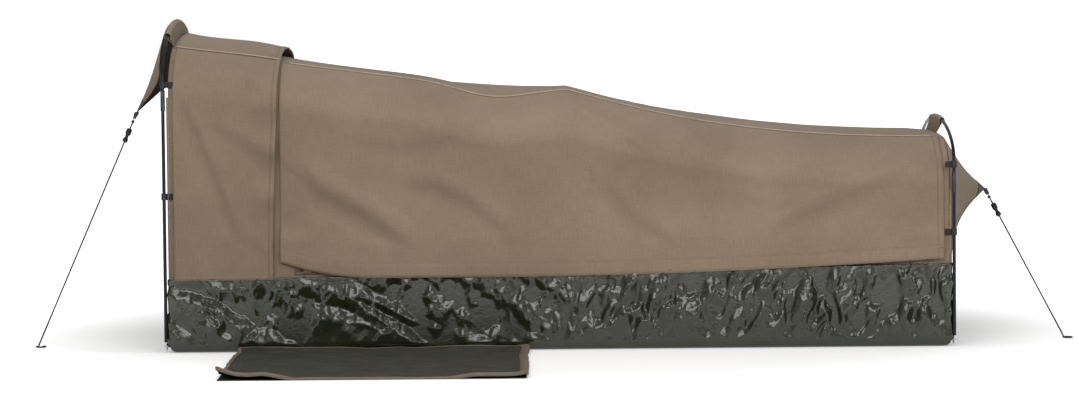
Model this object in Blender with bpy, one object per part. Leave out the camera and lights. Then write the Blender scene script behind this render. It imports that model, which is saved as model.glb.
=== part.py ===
"""Single swag bedroll, pitched: PVC tub, canvas canopy on two pole hoops, guyed hoods and a boot mat.

Metres, +Z up. X runs from the head (-X) to the foot (+X), the zipped door faces -Y, and the origin
is the centre of the tub's underside.
"""
import math

import bmesh
import bpy
from mathutils import Matrix, Vector

for old_object in list(bpy.data.objects):
    bpy.data.objects.remove(old_object, do_unlink=True)

# Clearances between neighbouring pieces
fit_gap = 0.0003
sewn_gap = 0.0005
panel_gap = 0.0013

# Tub: welded PVC bucket, pitched between the two hoops
hoop_half_spacing = 1.078
head_leg_gap = 0.011
foot_leg_gap = 0.008
tub_head_x = -hoop_half_spacing + head_leg_gap
tub_foot_x = hoop_half_spacing - foot_leg_gap
tub_half_width = 0.450
tub_wall = 0.0025
tub_edge_radius = 0.018
tub_corner_radius = 0.0035
rim_head_height = 0.200
rim_foot_height = 0.228

# Hoops: shock-corded aluminium poles, two straight legs and an arch each, in line with the tub's sides
leg_half_width = tub_half_width
pole_radius = 0.00475
pole_bore_radius = 0.0028
leg_foot_height = 0.030
head_joint_height = 0.690
head_arch_stub = 0.055
head_arch_start = head_joint_height + head_arch_stub
head_arch_rise = 0.155
foot_joint_height = 0.450
foot_arch_stub = 0.058
foot_arch_start = foot_joint_height + foot_arch_stub
foot_arch_rise = 0.104
ferrule_length = 0.056
ferrule_wall = 0.0012

# Canopy: 400 g canvas, cut so that the roof falls from the head hoop to the foot hoop
canopy_head_x = tub_head_x + tub_wall + sewn_gap
canopy_foot_x = tub_foot_x - tub_wall - sewn_gap
canopy_half_width = tub_half_width - tub_wall - sewn_gap
canvas_thickness = 0.0025
seam_inset = 0.157
seam_half_width = canopy_half_width - seam_inset
shoulder_rise = 0.125
ridge_head_drop = 0.034
ridge_head_height = head_arch_start + head_arch_rise - ridge_head_drop
ridge_peak_height = 0.706
ridge_foot_drop = 0.040
ridge_foot_height = foot_arch_start + foot_arch_rise - ridge_foot_drop
seam_head_drop = 0.032
seam_head_height = ridge_head_height - seam_head_drop
seam_foot_drop = 0.006
seam_foot_height = ridge_foot_height - seam_foot_drop
peak_x = 0.025
seam_dip_depth = 0.031
seam_dip_x = -0.180
seam_dip_width = 0.095
ridge_head_power = 1.8
ridge_foot_power = 2.2
seam_head_power = 1.45
seam_foot_power = 2.4
side_sag = 0.010
sag_start_height = 0.305
canvas_tuck_height = 0.150
cloth_pitch = 0.062
far_cloth_pitch = 0.100

# Foam mattress in its cover
mattress_end_room = 0.033
mattress_half_length = hoop_half_spacing - mattress_end_room
mattress_side_room = 0.025
mattress_half_width = tub_half_width - mattress_side_room
mattress_height = 0.070
mattress_crown = 0.006
mattress_edge_radius = 0.020
mattress_side_tuck = 0.004

# Head cover: a band of canvas over the head end whose side flaps hang free
cover_head_inset = 0.012
cover_length = 0.286
cover_head_x = canopy_head_x + cover_head_inset
cover_foot_x = cover_head_x + cover_length
cover_hem_height = 0.198
cover_head_lift = 0.0037
cover_foot_lift = 0.0185
flap_lift = 0.0030

# Zipped door on the near side
door_cover_gap = 0.004
doorway_head_overlap = 0.062
door_foot_inset = 0.017
doorway_foot_inset = 0.107
door_head_x = cover_foot_x + door_cover_gap
doorway_head_x = door_head_x + doorway_head_overlap
door_foot_x = canopy_foot_x - door_foot_inset
doorway_foot_x = canopy_foot_x - doorway_foot_inset
door_hem_height = 0.202
door_hem_foot_rise = 0.041
door_hem_foot_start = -0.200
door_hem_corner_rise = 0.046
door_hem_corner_start = -0.500
door_stand_off = 0.0092
door_layer_gap = 0.0010
sill_top_height = 0.300
door_close_rise = 0.040
door_close_height = sill_top_height + door_close_rise
door_hinge_lift = 0.0005
door_hinge_height = ridge_peak_height + door_hinge_lift
sill_pitch = 0.200
fold_depth = 0.007
fold_width = 0.045

# Windows with mesh, under the hoods
window_half_width = 0.135
window_half_height = 0.080
head_window_drop = 0.115
head_window_centre = head_arch_start - head_window_drop
foot_window_drop = 0.108
foot_window_centre = foot_arch_start - foot_window_drop
mesh_border = 0.012
mesh_thickness = 0.0010

# Hoods, each pulled out to a point by a guy rope
head_hood_reach = 0.131
head_hood_tip_x = canopy_head_x - head_hood_reach
head_hood_tip_drop = 0.099
head_hood_tip = Vector((head_hood_tip_x, 0.0, head_arch_start - head_hood_tip_drop))
foot_hood_reach = 0.146
foot_hood_tip_x = canopy_foot_x + foot_hood_reach
foot_hood_tip_drop = 0.100
foot_hood_tip = Vector((foot_hood_tip_x, 0.0, foot_arch_start - foot_hood_tip_drop))
hood_tip_half_width = 0.012
foot_hood_rim_gap = 0.004
foot_hood_low = rim_foot_height + foot_hood_rim_gap
hood_sag = 0.012
hood_end_inset = 0.0040

# Pole sleeves sewn to the canopy ends
head_sleeve_inset = 0.102
head_sleeve_half_width = leg_half_width - head_sleeve_inset
foot_sleeve_inset = 0.310
foot_sleeve_half_width = leg_half_width - foot_sleeve_inset
sleeve_wall = 0.0022
sleeve_slack = 0.0018
sleeve_tail_inset = 0.0055

# Pole clips on webbing
head_clip_low_height = 0.428
foot_clip_low_height = 0.313
head_clip_above_joint = 0.043
foot_clip_above_joint = 0.048
clip_heights_head = (head_clip_low_height, head_joint_height + head_clip_above_joint)
clip_heights_foot = (foot_clip_low_height, foot_joint_height + foot_clip_above_joint)
clip_wall = 0.0032
clip_height = 0.018
clip_mouth_angle = math.radians(80)
clip_neck_width = 0.0030

# Ring-and-pin feet on webbing loops
pin_top_height = 0.078
pin_eye_radius = 0.0042
pin_wire_radius = 0.0020
pin_eye_height = 0.018
pin_eye_start = math.radians(15)
pin_eye_end = math.radians(300)
tab_wrap_angle = math.radians(200)
ring_radius = 0.0125
ring_wire_radius = 0.0015
tab_thickness = 0.0018
tab_height = 0.010
tab_wall_length = 0.050
tab_bore_radius = 0.0030

# Inner hoop that holds the roof up amidships
mid_hoop_radius = 0.0040
mid_hoop_foot_height = 0.160
mid_hoop_knee_height = 0.400
mid_hoop_knee_inset = 0.0225
mid_hoop_knee_width = canopy_half_width - mid_hoop_knee_inset
mid_hoop_arch_start = 0.575
mid_hoop_power = 2.8

# Rolled insect screen, tied up under the near seam
screen_radius = 0.011
screen_end_inset = 0.040
screen_head_x = doorway_head_x + screen_end_inset
screen_foot_x = doorway_foot_x - screen_end_inset
screen_inset = 0.024
screen_dip_width = 0.060

# Guy ropes, their webbing and their runners
rope_radius = 0.0022
guy_tab_length = 0.022
guy_tab_width = 0.018
guy_tab_thickness = 0.0022
head_rope_route = ((-1.2038, -0.0081, 0.6243), (-1.2392, -0.0408, 0.5366),
                   (-1.2887, -0.0865, 0.4139), (-1.3453, -0.1388, 0.2737),
                   (-1.4020, -0.1911, 0.1335), (-1.4472, -0.2328, 0.0215),
                   (-1.4550, -0.2400, 0.0022), (-1.4589, -0.2524, 0.0022),
                   (-1.4500, -0.2620, 0.0022), (-1.4374, -0.2591, 0.0022),
                   (-1.4335, -0.2467, 0.0022), (-1.4423, -0.2371, 0.0022))
foot_rope_route = ((1.2224, -0.0117, 0.3883), (1.2605, -0.0588, 0.3087),
                   (1.3138, -0.1247, 0.1972), (1.3746, -0.2000, 0.0699),
                   (1.3986, -0.2296, 0.0197), (1.4070, -0.2400, 0.0022),
                   (1.4191, -0.2447, 0.0022), (1.4292, -0.2365, 0.0022),
                   (1.4272, -0.2237, 0.0022), (1.4151, -0.2190, 0.0022),
                   (1.4050, -0.2272, 0.0022))
rope_steps_per_span = 4
runner_start = 0.030
runner_length = 0.040
runner_radius = 0.0078
runner_waist_radius = 0.0046
runner_bore_gap = 0.0004

# Zip along the sill and its slider
zip_base = 0.006
zip_height = 0.024
zip_tape_thickness = 0.0010
zip_coil_height = 0.0060
zip_coil_depth = 0.0030
zip_head_overlap = 0.025
zip_foot_overlap = 0.050
zip_head_x = doorway_head_x - zip_head_overlap
zip_foot_x = doorway_foot_x + zip_foot_overlap
slider_x = doorway_head_x
slider_length = 0.022
slider_height = 0.0135
slider_depth = 0.0062
slider_pull_length = 0.024
slider_pull_width = 0.0050
slider_pull_thickness = 0.0012

# Boot mat on the ground in front of the door
mat_head_x = -0.882
mat_foot_x = -0.086
mat_rear_gap = 0.0004
mat_depth = 0.764
mat_rear_y = -tub_half_width - mat_rear_gap
mat_front_y = mat_rear_y - mat_depth
mat_thickness = 0.0035
mat_rear_lift = 0.009
mat_corner_lift = 0.030
mat_corner_reach = 0.200
mat_rear_band_share = 0.10
mat_wave_share = 1 / 3
mat_wave_turns = 1.5


def principled(name, colour, roughness, metallic=0.0):
    material = bpy.data.materials.new(name)
    material.use_nodes = True
    shader = material.node_tree.nodes["Principled BSDF"]
    shader.inputs["Base Color"].default_value = (*colour, 1.0)
    shader.inputs["Roughness"].default_value = roughness
    shader.inputs["Metallic"].default_value = metallic
    return material


canvas = principled("tan_canvas", (0.265, 0.200, 0.137), 0.85)
pvc = principled("olive_pvc", (0.038, 0.043, 0.027), 0.28)
pole_metal = principled("dark_pole", (0.030, 0.036, 0.050), 0.32, 0.8)
ferrule_metal = principled("dark_ferrule", (0.075, 0.080, 0.092), 0.38, 1.0)
clip_plastic = principled("black_plastic", (0.012, 0.012, 0.013), 0.45)
webbing = principled("black_webbing", (0.015, 0.015, 0.017), 0.80)
chrome = principled("plated_steel", (0.70, 0.71, 0.73), 0.18, 1.0)
rope_fibre = principled("dark_rope", (0.020, 0.021, 0.022), 0.75)
mesh_fabric = principled("insect_mesh", (0.030, 0.030, 0.030), 0.90)
mattress_cover = principled("mattress_cover", (0.080, 0.075, 0.062), 0.90)
zip_nylon = principled("zip_nylon", (0.160, 0.118, 0.080), 0.65)
mat_fabric = principled("olive_mat", (0.050, 0.054, 0.038), 0.70)


def add_object(name, mesh, material):
    mesh.materials.append(material)
    obj = bpy.data.objects.new(name, mesh)
    bpy.context.scene.collection.objects.link(obj)
    return obj


def loft(name, rings, material, closed=False, smooth=True):
    """Skin a row of rings with equal point counts; closed joins the last ring to the first."""
    mesh = bpy.data.meshes.new(name)
    count = len(rings[0])
    points = [point for ring in rings for point in ring]
    faces = []
    spans = len(rings) if closed else len(rings) - 1
    for row in range(spans):
        above = (row + 1) % len(rings)
        for k in range(count):
            beside = (k + 1) % count
            faces.append((row * count + k, row * count + beside,
                          above * count + beside, above * count + k))
    if not closed:
        faces.append(tuple(range(count)))
        faces.append(tuple(range(len(points) - count, len(points))))
    mesh.from_pydata([tuple(point) for point in points], [], faces)
    work = bmesh.new()
    work.from_mesh(mesh)
    bmesh.ops.recalc_face_normals(work, faces=work.faces)
    work.to_mesh(mesh)
    work.free()
    if smooth:
        mesh.shade_smooth()
        mesh.set_sharp_from_angle(angle=math.radians(40))
    return add_object(name, mesh, material)


def cloth(name, rows, material, thickness, outward):
    """A sheet through rows of points, thickened behind the face that looks outward."""
    mesh = bpy.data.meshes.new(name)
    width = len(rows[0])
    faces = []
    for i in range(len(rows) - 1):
        for j in range(width - 1):
            corner = i * width + j
            faces.append((corner, corner + 1, corner + width + 1, corner + width))
    mesh.from_pydata([tuple(point) for row in rows for point in row], [], faces)
    facing = sum((face.normal.dot(Vector(outward)) for face in mesh.polygons))
    if facing < 0:
        mesh.flip_normals()
    mesh.shade_smooth()
    obj = add_object(name, mesh, material)
    solidify = obj.modifiers.new("thickness", "SOLIDIFY")
    solidify.thickness = thickness
    solidify.offset = -1
    return obj


def tube(name, points, radius, material, resolution=2):
    """A round bar along a polyline, with flat ends."""
    curve = bpy.data.curves.new(name, "CURVE")
    curve.dimensions = "3D"
    spline = curve.splines.new("POLY")
    spline.points.add(len(points) - 1)
    for k, point in enumerate(points):
        spline.points[k].co = (*point, 1.0)
    curve.bevel_depth = radius
    curve.bevel_resolution = resolution
    curve.use_fill_caps = True
    curve.materials.append(material)
    obj = bpy.data.objects.new(name, curve)
    bpy.context.scene.collection.objects.link(obj)
    return obj


def circle(centre, radius, across, up, sides):
    """Points of a circle in the plane of two unit vectors."""
    turn = 2 * math.pi / sides
    return [centre + across * (radius * math.cos(turn * k)) + up * (radius * math.sin(turn * k))
            for k in range(sides)]


def move_origin(obj, pivot):
    """Put an object's origin on its joint without moving its surface."""
    obj.data.transform(Matrix.Translation(-pivot))
    obj.location = pivot


def smooth_route(points, spans_each):
    """A curve through hand-chosen points, each span rounded by its neighbours."""
    knots = [Vector(point) for point in points]
    knots = [knots[0] * 2 - knots[1]] + knots + [knots[-1] * 2 - knots[-2]]
    path = [knots[1]]
    for before, start, end, after in zip(knots, knots[1:], knots[2:], knots[3:]):
        for share in steps(0.0, 1.0, spans_each)[1:]:
            lead = (end - before) / 2
            leave = (after - start) / 2
            point = (start * (1 - 3 * share ** 2 + 2 * share ** 3)
                     + lead * (share - 2 * share ** 2 + share ** 3)
                     + end * (3 * share ** 2 - 2 * share ** 3)
                     + leave * (share ** 3 - share ** 2))
            point.z = max(point.z, rope_radius)
            path.append(point)
    return path


def steps(start, end, count):
    return [start + (end - start) * k / count for k in range(count + 1)]


def stations(start, end, pitch):
    """Places along X about a pitch apart, with one at the roof's peak where that lies between."""
    if not start < peak_x < end:
        return steps(start, end, max(1, round((end - start) / pitch)))
    head_count = max(1, round((peak_x - start) / pitch))
    foot_count = max(1, round((end - peak_x) / pitch))
    return steps(start, peak_x, head_count) + steps(peak_x, end, foot_count)[1:]


# Heights along the canopy
def rim_height(x):
    share = (x - tub_head_x) / (tub_foot_x - tub_head_x)
    return rim_head_height + (rim_foot_height - rim_head_height) * share


def fall(x, head, peak, foot, head_power, foot_power):
    """Height of a line that drops from the head to the peak, then from the peak to the foot."""
    if x < peak_x:
        share = min(1.0, (peak_x - x) / (peak_x - canopy_head_x))
        return peak + (head - peak) * share ** head_power
    share = min(1.0, (x - peak_x) / (canopy_foot_x - peak_x))
    return foot + (peak - foot) * (1 - share) ** foot_power


def ridge_height(x):
    return fall(x, ridge_head_height, ridge_peak_height, ridge_foot_height,
                ridge_head_power, ridge_foot_power)


def seam_height(x):
    dip = math.exp(-((x - seam_dip_x) / seam_dip_width) ** 2 / 2)
    return fall(x, seam_head_height, ridge_peak_height, seam_foot_height,
                seam_head_power, seam_foot_power) - seam_dip_depth * dip


def roof_height(x, y):
    crown = 1 - (y / seam_half_width) ** 2
    return seam_height(x) + (ridge_height(x) - seam_height(x)) * crown


def shoulder_height(x):
    return seam_height(x) - shoulder_rise


# The side rises straight to the shoulder, then follows a quarter ellipse as far as the seam
seam_sine = math.sqrt(1 - (seam_half_width / canopy_half_width) ** 2)
seam_angle = math.asin(seam_sine)
ellipse_height = shoulder_rise / seam_sine


def skin_height(x, y):
    """Height of the canopy over a point, roof or shoulder."""
    if abs(y) <= seam_half_width:
        return roof_height(x, y)
    level = math.sqrt(max(0.0, 1 - (y / canopy_half_width) ** 2))
    return shoulder_height(x) + ellipse_height * level


def sag_at(x, z):
    """How far the straight part of a side hangs inwards between the hoops."""
    if z <= sag_start_height:
        return 0.0
    along = 1 - (x / hoop_half_spacing) ** 2
    up = min(1.0, (z - sag_start_height) / (shoulder_height(x) - sag_start_height))
    return side_sag * along * math.sin(math.pi * up)


def side_point(x, z, side, lift=0.0):
    """A point on the straight part of a side, lift metres outside the canvas."""
    return Vector((x, side * (canopy_half_width - sag_at(x, z) + lift), z))


def shoulder_point(x, angle, side, lift=0.0):
    """A point on the shoulder's ellipse, lift metres outside the canvas."""
    out = canopy_half_width * math.cos(angle)
    rise = ellipse_height * math.sin(angle)
    normal = Vector((math.cos(angle) / canopy_half_width, math.sin(angle) / ellipse_height))
    normal.normalize()
    return Vector((x, side * (out + lift * normal.x), shoulder_height(x) + rise + lift * normal.y))


# The shoulder stops a panel gap short of the seam, which is where the roof panel begins
edge_angle = math.acos((seam_half_width + panel_gap) / canopy_half_width)


def side_rows(places, low, side, lift, straight_rows=7, shoulder_rows=5):
    """Rows of points up one side, from low(x) to the seam, at each place along X."""
    rows = []
    for share in steps(0.0, 1.0, straight_rows):
        row = []
        for x in places:
            z = low(x) + (shoulder_height(x) - low(x)) * share
            row.append(side_point(x, z, side, lift(x, z)))
        rows.append(row)
    for angle in steps(0.0, edge_angle, shoulder_rows)[1:]:
        row = []
        for x in places:
            z = shoulder_height(x) + ellipse_height * math.sin(angle)
            row.append(shoulder_point(x, angle, side, lift(x, z)))
        rows.append(row)
    return rows


def smooth_step(value):
    value = min(1.0, max(0.0, value))
    return value * value * (3 - 2 * value)


# Tub
def tub_ring(inset, height, rim_share, edge_radius):
    """A rounded rectangle at a height plus a share of the rim's height there."""
    ring = []
    middle_x = (tub_head_x + tub_foot_x) / 2
    half_x = (tub_foot_x - tub_head_x) / 2 - inset
    half_y = tub_half_width - inset
    radius = max(edge_radius, fit_gap)
    for corner in range(4):
        sign_x = 1 if corner in (0, 3) else -1
        sign_y = 1 if corner in (0, 1) else -1
        for k in range(4):
            angle = math.radians(90) * (corner + k / 3)
            x = middle_x + sign_x * (half_x - radius) + radius * math.cos(angle)
            y = sign_y * (half_y - radius) + radius * math.sin(angle)
            ring.append(Vector((x, y, height + rim_share * rim_height(x))))
    return ring


def make_tub():
    rings = []
    for angle in steps(0.0, math.pi / 2, 4):
        inset = tub_edge_radius * (1 - math.sin(angle))
        rings.append(tub_ring(inset, tub_edge_radius * (1 - math.cos(angle)), 0.0,
                              tub_corner_radius))
    rings.append(tub_ring(0.0, 0.0, 1.0, tub_corner_radius))
    rings.append(tub_ring(tub_wall, 0.0, 1.0, tub_corner_radius - tub_wall))
    inner_radius = tub_edge_radius - tub_wall
    for angle in reversed(steps(0.0, math.pi / 2, 3)):
        inset = tub_wall + inner_radius * (1 - math.sin(angle))
        rings.append(tub_ring(inset, tub_wall + inner_radius * (1 - math.cos(angle)), 0.0,
                              tub_corner_radius - tub_wall))
    return loft("pvc_tub", rings, pvc)


make_tub()


# Mattress: crowned on top, tucked in a little at mid height, flat where it lies on the tub
def mattress_ring(inset, height):
    ring = []
    for corner in range(4):
        sign_x = 1 if corner in (0, 3) else -1
        sign_y = 1 if corner in (0, 1) else -1
        radius = mattress_edge_radius
        for k in range(4):
            angle = math.radians(90) * (corner + k / 3)
            x = sign_x * (mattress_half_length - inset - radius) + radius * math.cos(angle)
            y = sign_y * (mattress_half_width - inset - radius) + radius * math.sin(angle)
            ring.append(Vector((x, y, height)))
    return ring


def make_mattress():
    base = tub_wall + fit_gap
    side_x = tub_edge_radius
    rings = [mattress_ring(side_x, base),
             mattress_ring(mattress_edge_radius / 4, base + mattress_edge_radius),
             mattress_ring(mattress_side_tuck, base + mattress_height / 2),
             mattress_ring(mattress_edge_radius / 4, base + mattress_height - mattress_edge_radius / 2),
             mattress_ring(mattress_edge_radius, base + mattress_height)]
    crown_shares = ((0.35, 0.62), (0.65, 0.90), (0.90, 1.0))
    for inward, up in crown_shares:
        inset = mattress_edge_radius + inward * (mattress_half_width - 2 * mattress_edge_radius)
        rings.append(mattress_ring(inset, base + mattress_height + up * mattress_crown))
    return loft("mattress", rings, mattress_cover)


make_mattress()


# Fixed canvas: its lower edge is tucked inside the tub
def tuck_height(x):
    return canvas_tuck_height


def no_lift(x, z):
    return 0.0


NEAR = -1
FAR = 1

cloth("near_head_panel",
      side_rows(stations(canopy_head_x, doorway_head_x, cloth_pitch), tuck_height, NEAR, no_lift),
      canvas, canvas_thickness, (0, NEAR, 0))
cloth("near_foot_panel",
      side_rows(stations(doorway_foot_x, canopy_foot_x, cloth_pitch), tuck_height, NEAR, no_lift),
      canvas, canvas_thickness, (0, NEAR, 0))
cloth("far_side_panel",
      side_rows(stations(canopy_head_x, canopy_foot_x, far_cloth_pitch), tuck_height, FAR, no_lift, 5),
      canvas, canvas_thickness, (0, FAR, 0))

sill_stations = stations(doorway_head_x + panel_gap, doorway_foot_x - panel_gap, sill_pitch)
sill_rows = [[side_point(x, z, NEAR) for x in sill_stations]
             for z in steps(canvas_tuck_height, sill_top_height, 1)]
cloth("near_sill_band", sill_rows, canvas, canvas_thickness, (0, NEAR, 0))

roof_rows = [[Vector((x, y, roof_height(x, y))) for x in stations(canopy_head_x, canopy_foot_x, cloth_pitch)]
             for y in steps(-seam_half_width, seam_half_width, 4)]
cloth("roof_panel", roof_rows, canvas, canvas_thickness, (0, 0, 1))


# End walls with a window and its mesh
def wall_outline(x):
    """The canopy's section at x, drawn in from the panels that it is sewn to."""
    inset = canvas_thickness + panel_gap
    half = []
    half.append((canopy_half_width - inset, canvas_tuck_height))
    half.append((canopy_half_width - inset, (canvas_tuck_height + shoulder_height(x)) / 2))
    for angle in steps(0.0, edge_angle, 5):
        point = shoulder_point(x, angle, FAR, -inset)
        half.append((point.y, point.z))
    for y in steps(seam_half_width, 0.0, 2)[1:]:
        half.append((y, roof_height(x, y) - inset))
    near = [(-y, z) for y, z in reversed(half[:-1])]
    return half + near


def window_outline(outline, centre, grow):
    """The window's rounded outline, one point for each point of the wall's outline."""
    ring = []
    for y, z in outline:
        angle = math.atan2(z - centre, y)
        across = abs(math.cos(angle)) / (window_half_width + grow)
        up = abs(math.sin(angle)) / (window_half_height + grow)
        reach = (across ** 4 + up ** 4) ** (-1 / 4)
        ring.append((reach * math.cos(angle), centre + reach * math.sin(angle)))
    return ring


def make_end(label, x, inward, centre):
    outline = wall_outline(x)
    window = window_outline(outline, centre, 0.0)
    wall_inner = x + inward * canvas_thickness
    rings = []
    for plane, loop in ((x, window), (x, outline), (wall_inner, outline), (wall_inner, window)):
        rings.append([Vector((plane, y, z)) for y, z in loop])
    loft(label + "_wall", rings, canvas, closed=True, smooth=False)
    net = window_outline(outline, centre, mesh_border)
    net_outer = wall_inner + inward * fit_gap
    net_inner = net_outer + inward * mesh_thickness
    loft(label + "_window_mesh",
         [[Vector((plane, y, z)) for y, z in net] for plane in (net_outer, net_inner)],
         mesh_fabric, smooth=False)


make_end("head", canopy_head_x, 1, head_window_centre)
make_end("foot", canopy_foot_x, -1, foot_window_centre)


# Door: the near side's zipped panel, hung from the seam
def door_hem(x):
    rise = 0.0
    if x > door_hem_foot_start:
        share = (x - door_hem_foot_start) / (door_foot_x - door_hem_foot_start)
        rise = door_hem_foot_rise * share ** 2
    if x < door_hem_corner_start:
        share = (door_hem_corner_start - x) / (door_hem_corner_start - door_head_x)
        rise = door_hem_corner_rise * share ** 2
    return door_hem_height + rise


# Each fold runs between two places on the door, given as shares of its length and height
fold_shares = (((0.02, 0.62), (0.20, 0.12), -1.0),
               ((0.90, 0.78), (0.62, 0.30), -1.0),
               ((0.97, 0.80), (0.78, 0.08), 0.6),
               ((0.46, 0.98), (0.60, 0.55), -0.7))


def door_folds(x, z):
    """Soft folds pulled across the cloth, kept off its sewn edges."""
    along = (x - door_head_x) / (door_foot_x - door_head_x)
    up = (z - door_hem_height) / (seam_height(x) - door_hem_height)
    total = 0.0
    for start, end, strength in fold_shares:
        span = Vector((end[0] - start[0], end[1] - start[1]))
        offset = Vector((along - start[0], up - start[1]))
        reach = min(1.0, max(0.0, offset.dot(span) / span.dot(span)))
        nearest = offset - span * reach
        metres = Vector((nearest.x * (door_foot_x - door_head_x),
                         nearest.y * (seam_height(x) - door_hem_height)))
        total += strength * math.exp(-(metres.length / fold_width) ** 2)
    edge = smooth_step((x - doorway_head_x) / fold_width) * smooth_step(
        (doorway_foot_x - x) / fold_width)
    edge *= smooth_step((z - sill_top_height) / fold_width)
    edge *= smooth_step((seam_height(x) - z) / fold_width)
    return fold_depth * total * edge


def door_lift_off(x, z):
    """The door stands clear of the zip at its hem and lies on the canvas higher up."""
    up = (z - sill_top_height) / (door_close_height - sill_top_height)
    stand = door_layer_gap + (door_stand_off - door_layer_gap) * (1 - smooth_step(up))
    return stand + canvas_thickness + door_folds(x, z)


door = cloth("door_panel",
             side_rows(stations(door_head_x, door_foot_x, cloth_pitch), door_hem, NEAR,
                       door_lift_off, 9),
             canvas, canvas_thickness, (0, NEAR, 0))
move_origin(door, Vector((peak_x, -seam_half_width, door_hinge_height)))


# Head cover: fixed over the roof, with a flap hanging down each side
def cover_lift(x):
    share = (x - cover_head_x) / (cover_foot_x - cover_head_x)
    return cover_head_lift + (cover_foot_lift - cover_head_lift) * share


cover_stations = steps(cover_head_x, cover_foot_x, 6)
cover_rows = [[Vector((x, y, roof_height(x, y) + cover_lift(x))) for x in cover_stations]
              for y in steps(-seam_half_width, seam_half_width, 4)]
cloth("head_cover_roof", cover_rows, canvas, canvas_thickness, (0, 0, 1))


def flap_low(x):
    return cover_hem_height


def flap_lift_off(x, z):
    up = (z - sill_top_height) / (seam_height(x) - sill_top_height)
    clear_of_tub = (tub_half_width - canopy_half_width) * (1 - smooth_step(up))
    return flap_lift + clear_of_tub + (cover_lift(x) - flap_lift) * smooth_step(up)


flap_hinge_height = seam_height(cover_foot_x) + cover_foot_lift
for flap_name, flap_side in (("head_flap_near", NEAR), ("head_flap_far", FAR)):
    flap = cloth(flap_name,
                 side_rows(cover_stations, flap_low, flap_side, flap_lift_off),
                 canvas, canvas_thickness, (0, flap_side, 0))
    move_origin(flap, Vector((cover_foot_x, flap_side * seam_half_width, flap_hinge_height)))


# Hoops
def arch_height(y, start, rise):
    return start + rise * math.sqrt(max(0.0, 1 - (y / leg_half_width) ** 2))


def arch_points(x, joint, start, rise, count=22):
    points = [Vector((x, -leg_half_width, joint + fit_gap))]
    for angle in steps(0.0, math.pi, count):
        points.append(Vector((x, -leg_half_width * math.cos(angle), start + rise * math.sin(angle))))
    points.append(Vector((x, leg_half_width, joint + fit_gap)))
    return points


X_AXIS = Vector((1, 0, 0))
Y_AXIS = Vector((0, 1, 0))
Z_AXIS = Vector((0, 0, 1))


def lathe(name, profile, origin, axis, material, sides, closed=False):
    """Turn a profile of (radius, distance along the axis) about an axis through the origin."""
    across = axis.orthogonal().normalized()
    up = axis.cross(across).normalized()
    rings = [circle(origin + axis * distance, radius, across, up, sides)
             for radius, distance in profile]
    return loft(name, rings, material, closed=closed)


def make_hoop(label, x, joint, start, rise):
    tube(label + "_arch", arch_points(x, joint, start, rise), pole_radius, pole_metal)
    for side_name, side in (("near", NEAR), ("far", FAR)):
        foot = Vector((x, side * leg_half_width, 0.0))
        bore_depth = pin_top_height + sewn_gap
        leg_profile = ((pole_bore_radius, bore_depth),
                       (pole_bore_radius, leg_foot_height),
                       (pole_radius, leg_foot_height),
                       (pole_radius, joint - fit_gap))
        lathe(f"{label}_leg_{side_name}", leg_profile, foot, Z_AXIS, pole_metal, 12)
        inner = pole_radius + fit_gap
        outer = inner + ferrule_wall
        low = joint - ferrule_length / 2
        high = joint + ferrule_length / 2
        ferrule_profile = ((inner, low), (outer, low), (outer, high), (inner, high))
        lathe(f"{label}_ferrule_{side_name}", ferrule_profile, foot, Z_AXIS, ferrule_metal, 12,
              closed=True)


make_hoop("head", -hoop_half_spacing, head_joint_height, head_arch_start, head_arch_rise)
make_hoop("foot", hoop_half_spacing, foot_joint_height, foot_arch_start, foot_arch_rise)


# Inner hoop: feet inside the tub's rim, knees just inside the canvas, a square-shouldered arch
def make_mid_hoop():
    foot_width = canopy_half_width - canvas_thickness - mid_hoop_radius - fit_gap
    apex = ridge_peak_height - canvas_thickness - mid_hoop_radius - sewn_gap
    rise = apex - mid_hoop_arch_start
    near_half = [Vector((peak_x, -foot_width, mid_hoop_foot_height)),
                 Vector((peak_x, -mid_hoop_knee_width, mid_hoop_knee_height))]
    half_turns = 9
    for k in range(half_turns):
        angle = math.pi / 2 * k / half_turns
        out = mid_hoop_knee_width * math.cos(angle) ** (2 / mid_hoop_power)
        up = mid_hoop_arch_start + rise * math.sin(angle) ** (2 / mid_hoop_power)
        near_half.append(Vector((peak_x, -out, up)))
    far_half = [Vector((point.x, -point.y, point.z)) for point in reversed(near_half)]
    top = [Vector((peak_x, 0.0, apex))]
    return tube("mid_hoop", near_half + top + far_half, mid_hoop_radius, pole_metal)


make_mid_hoop()


def mid_hoop_height(y):
    """Height of the inner hoop's centre line over its arch."""
    apex = ridge_peak_height - canvas_thickness - mid_hoop_radius - sewn_gap
    level = max(0.0, 1 - (abs(y) / mid_hoop_knee_width) ** mid_hoop_power)
    return mid_hoop_arch_start + (apex - mid_hoop_arch_start) * level ** (1 / mid_hoop_power)


# Rolled insect screen: follows the roof near the seam and passes under the inner hoop
def make_screen_roll():
    y = -(seam_half_width - screen_inset)
    points = []
    under_hoop = mid_hoop_height(y - screen_radius) - mid_hoop_radius - panel_gap - screen_radius
    for x in stations(screen_head_x, screen_foot_x, cloth_pitch):
        under_roof = seam_height(x) - canvas_thickness - sewn_gap - screen_radius
        near_hoop = math.exp(-((x - peak_x) / screen_dip_width) ** 4)
        points.append(Vector((x, y, under_roof + (under_hoop - under_roof) * near_hoop)))
    return tube("insect_screen_roll", points, screen_radius, mesh_fabric, 2)


make_screen_roll()


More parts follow.
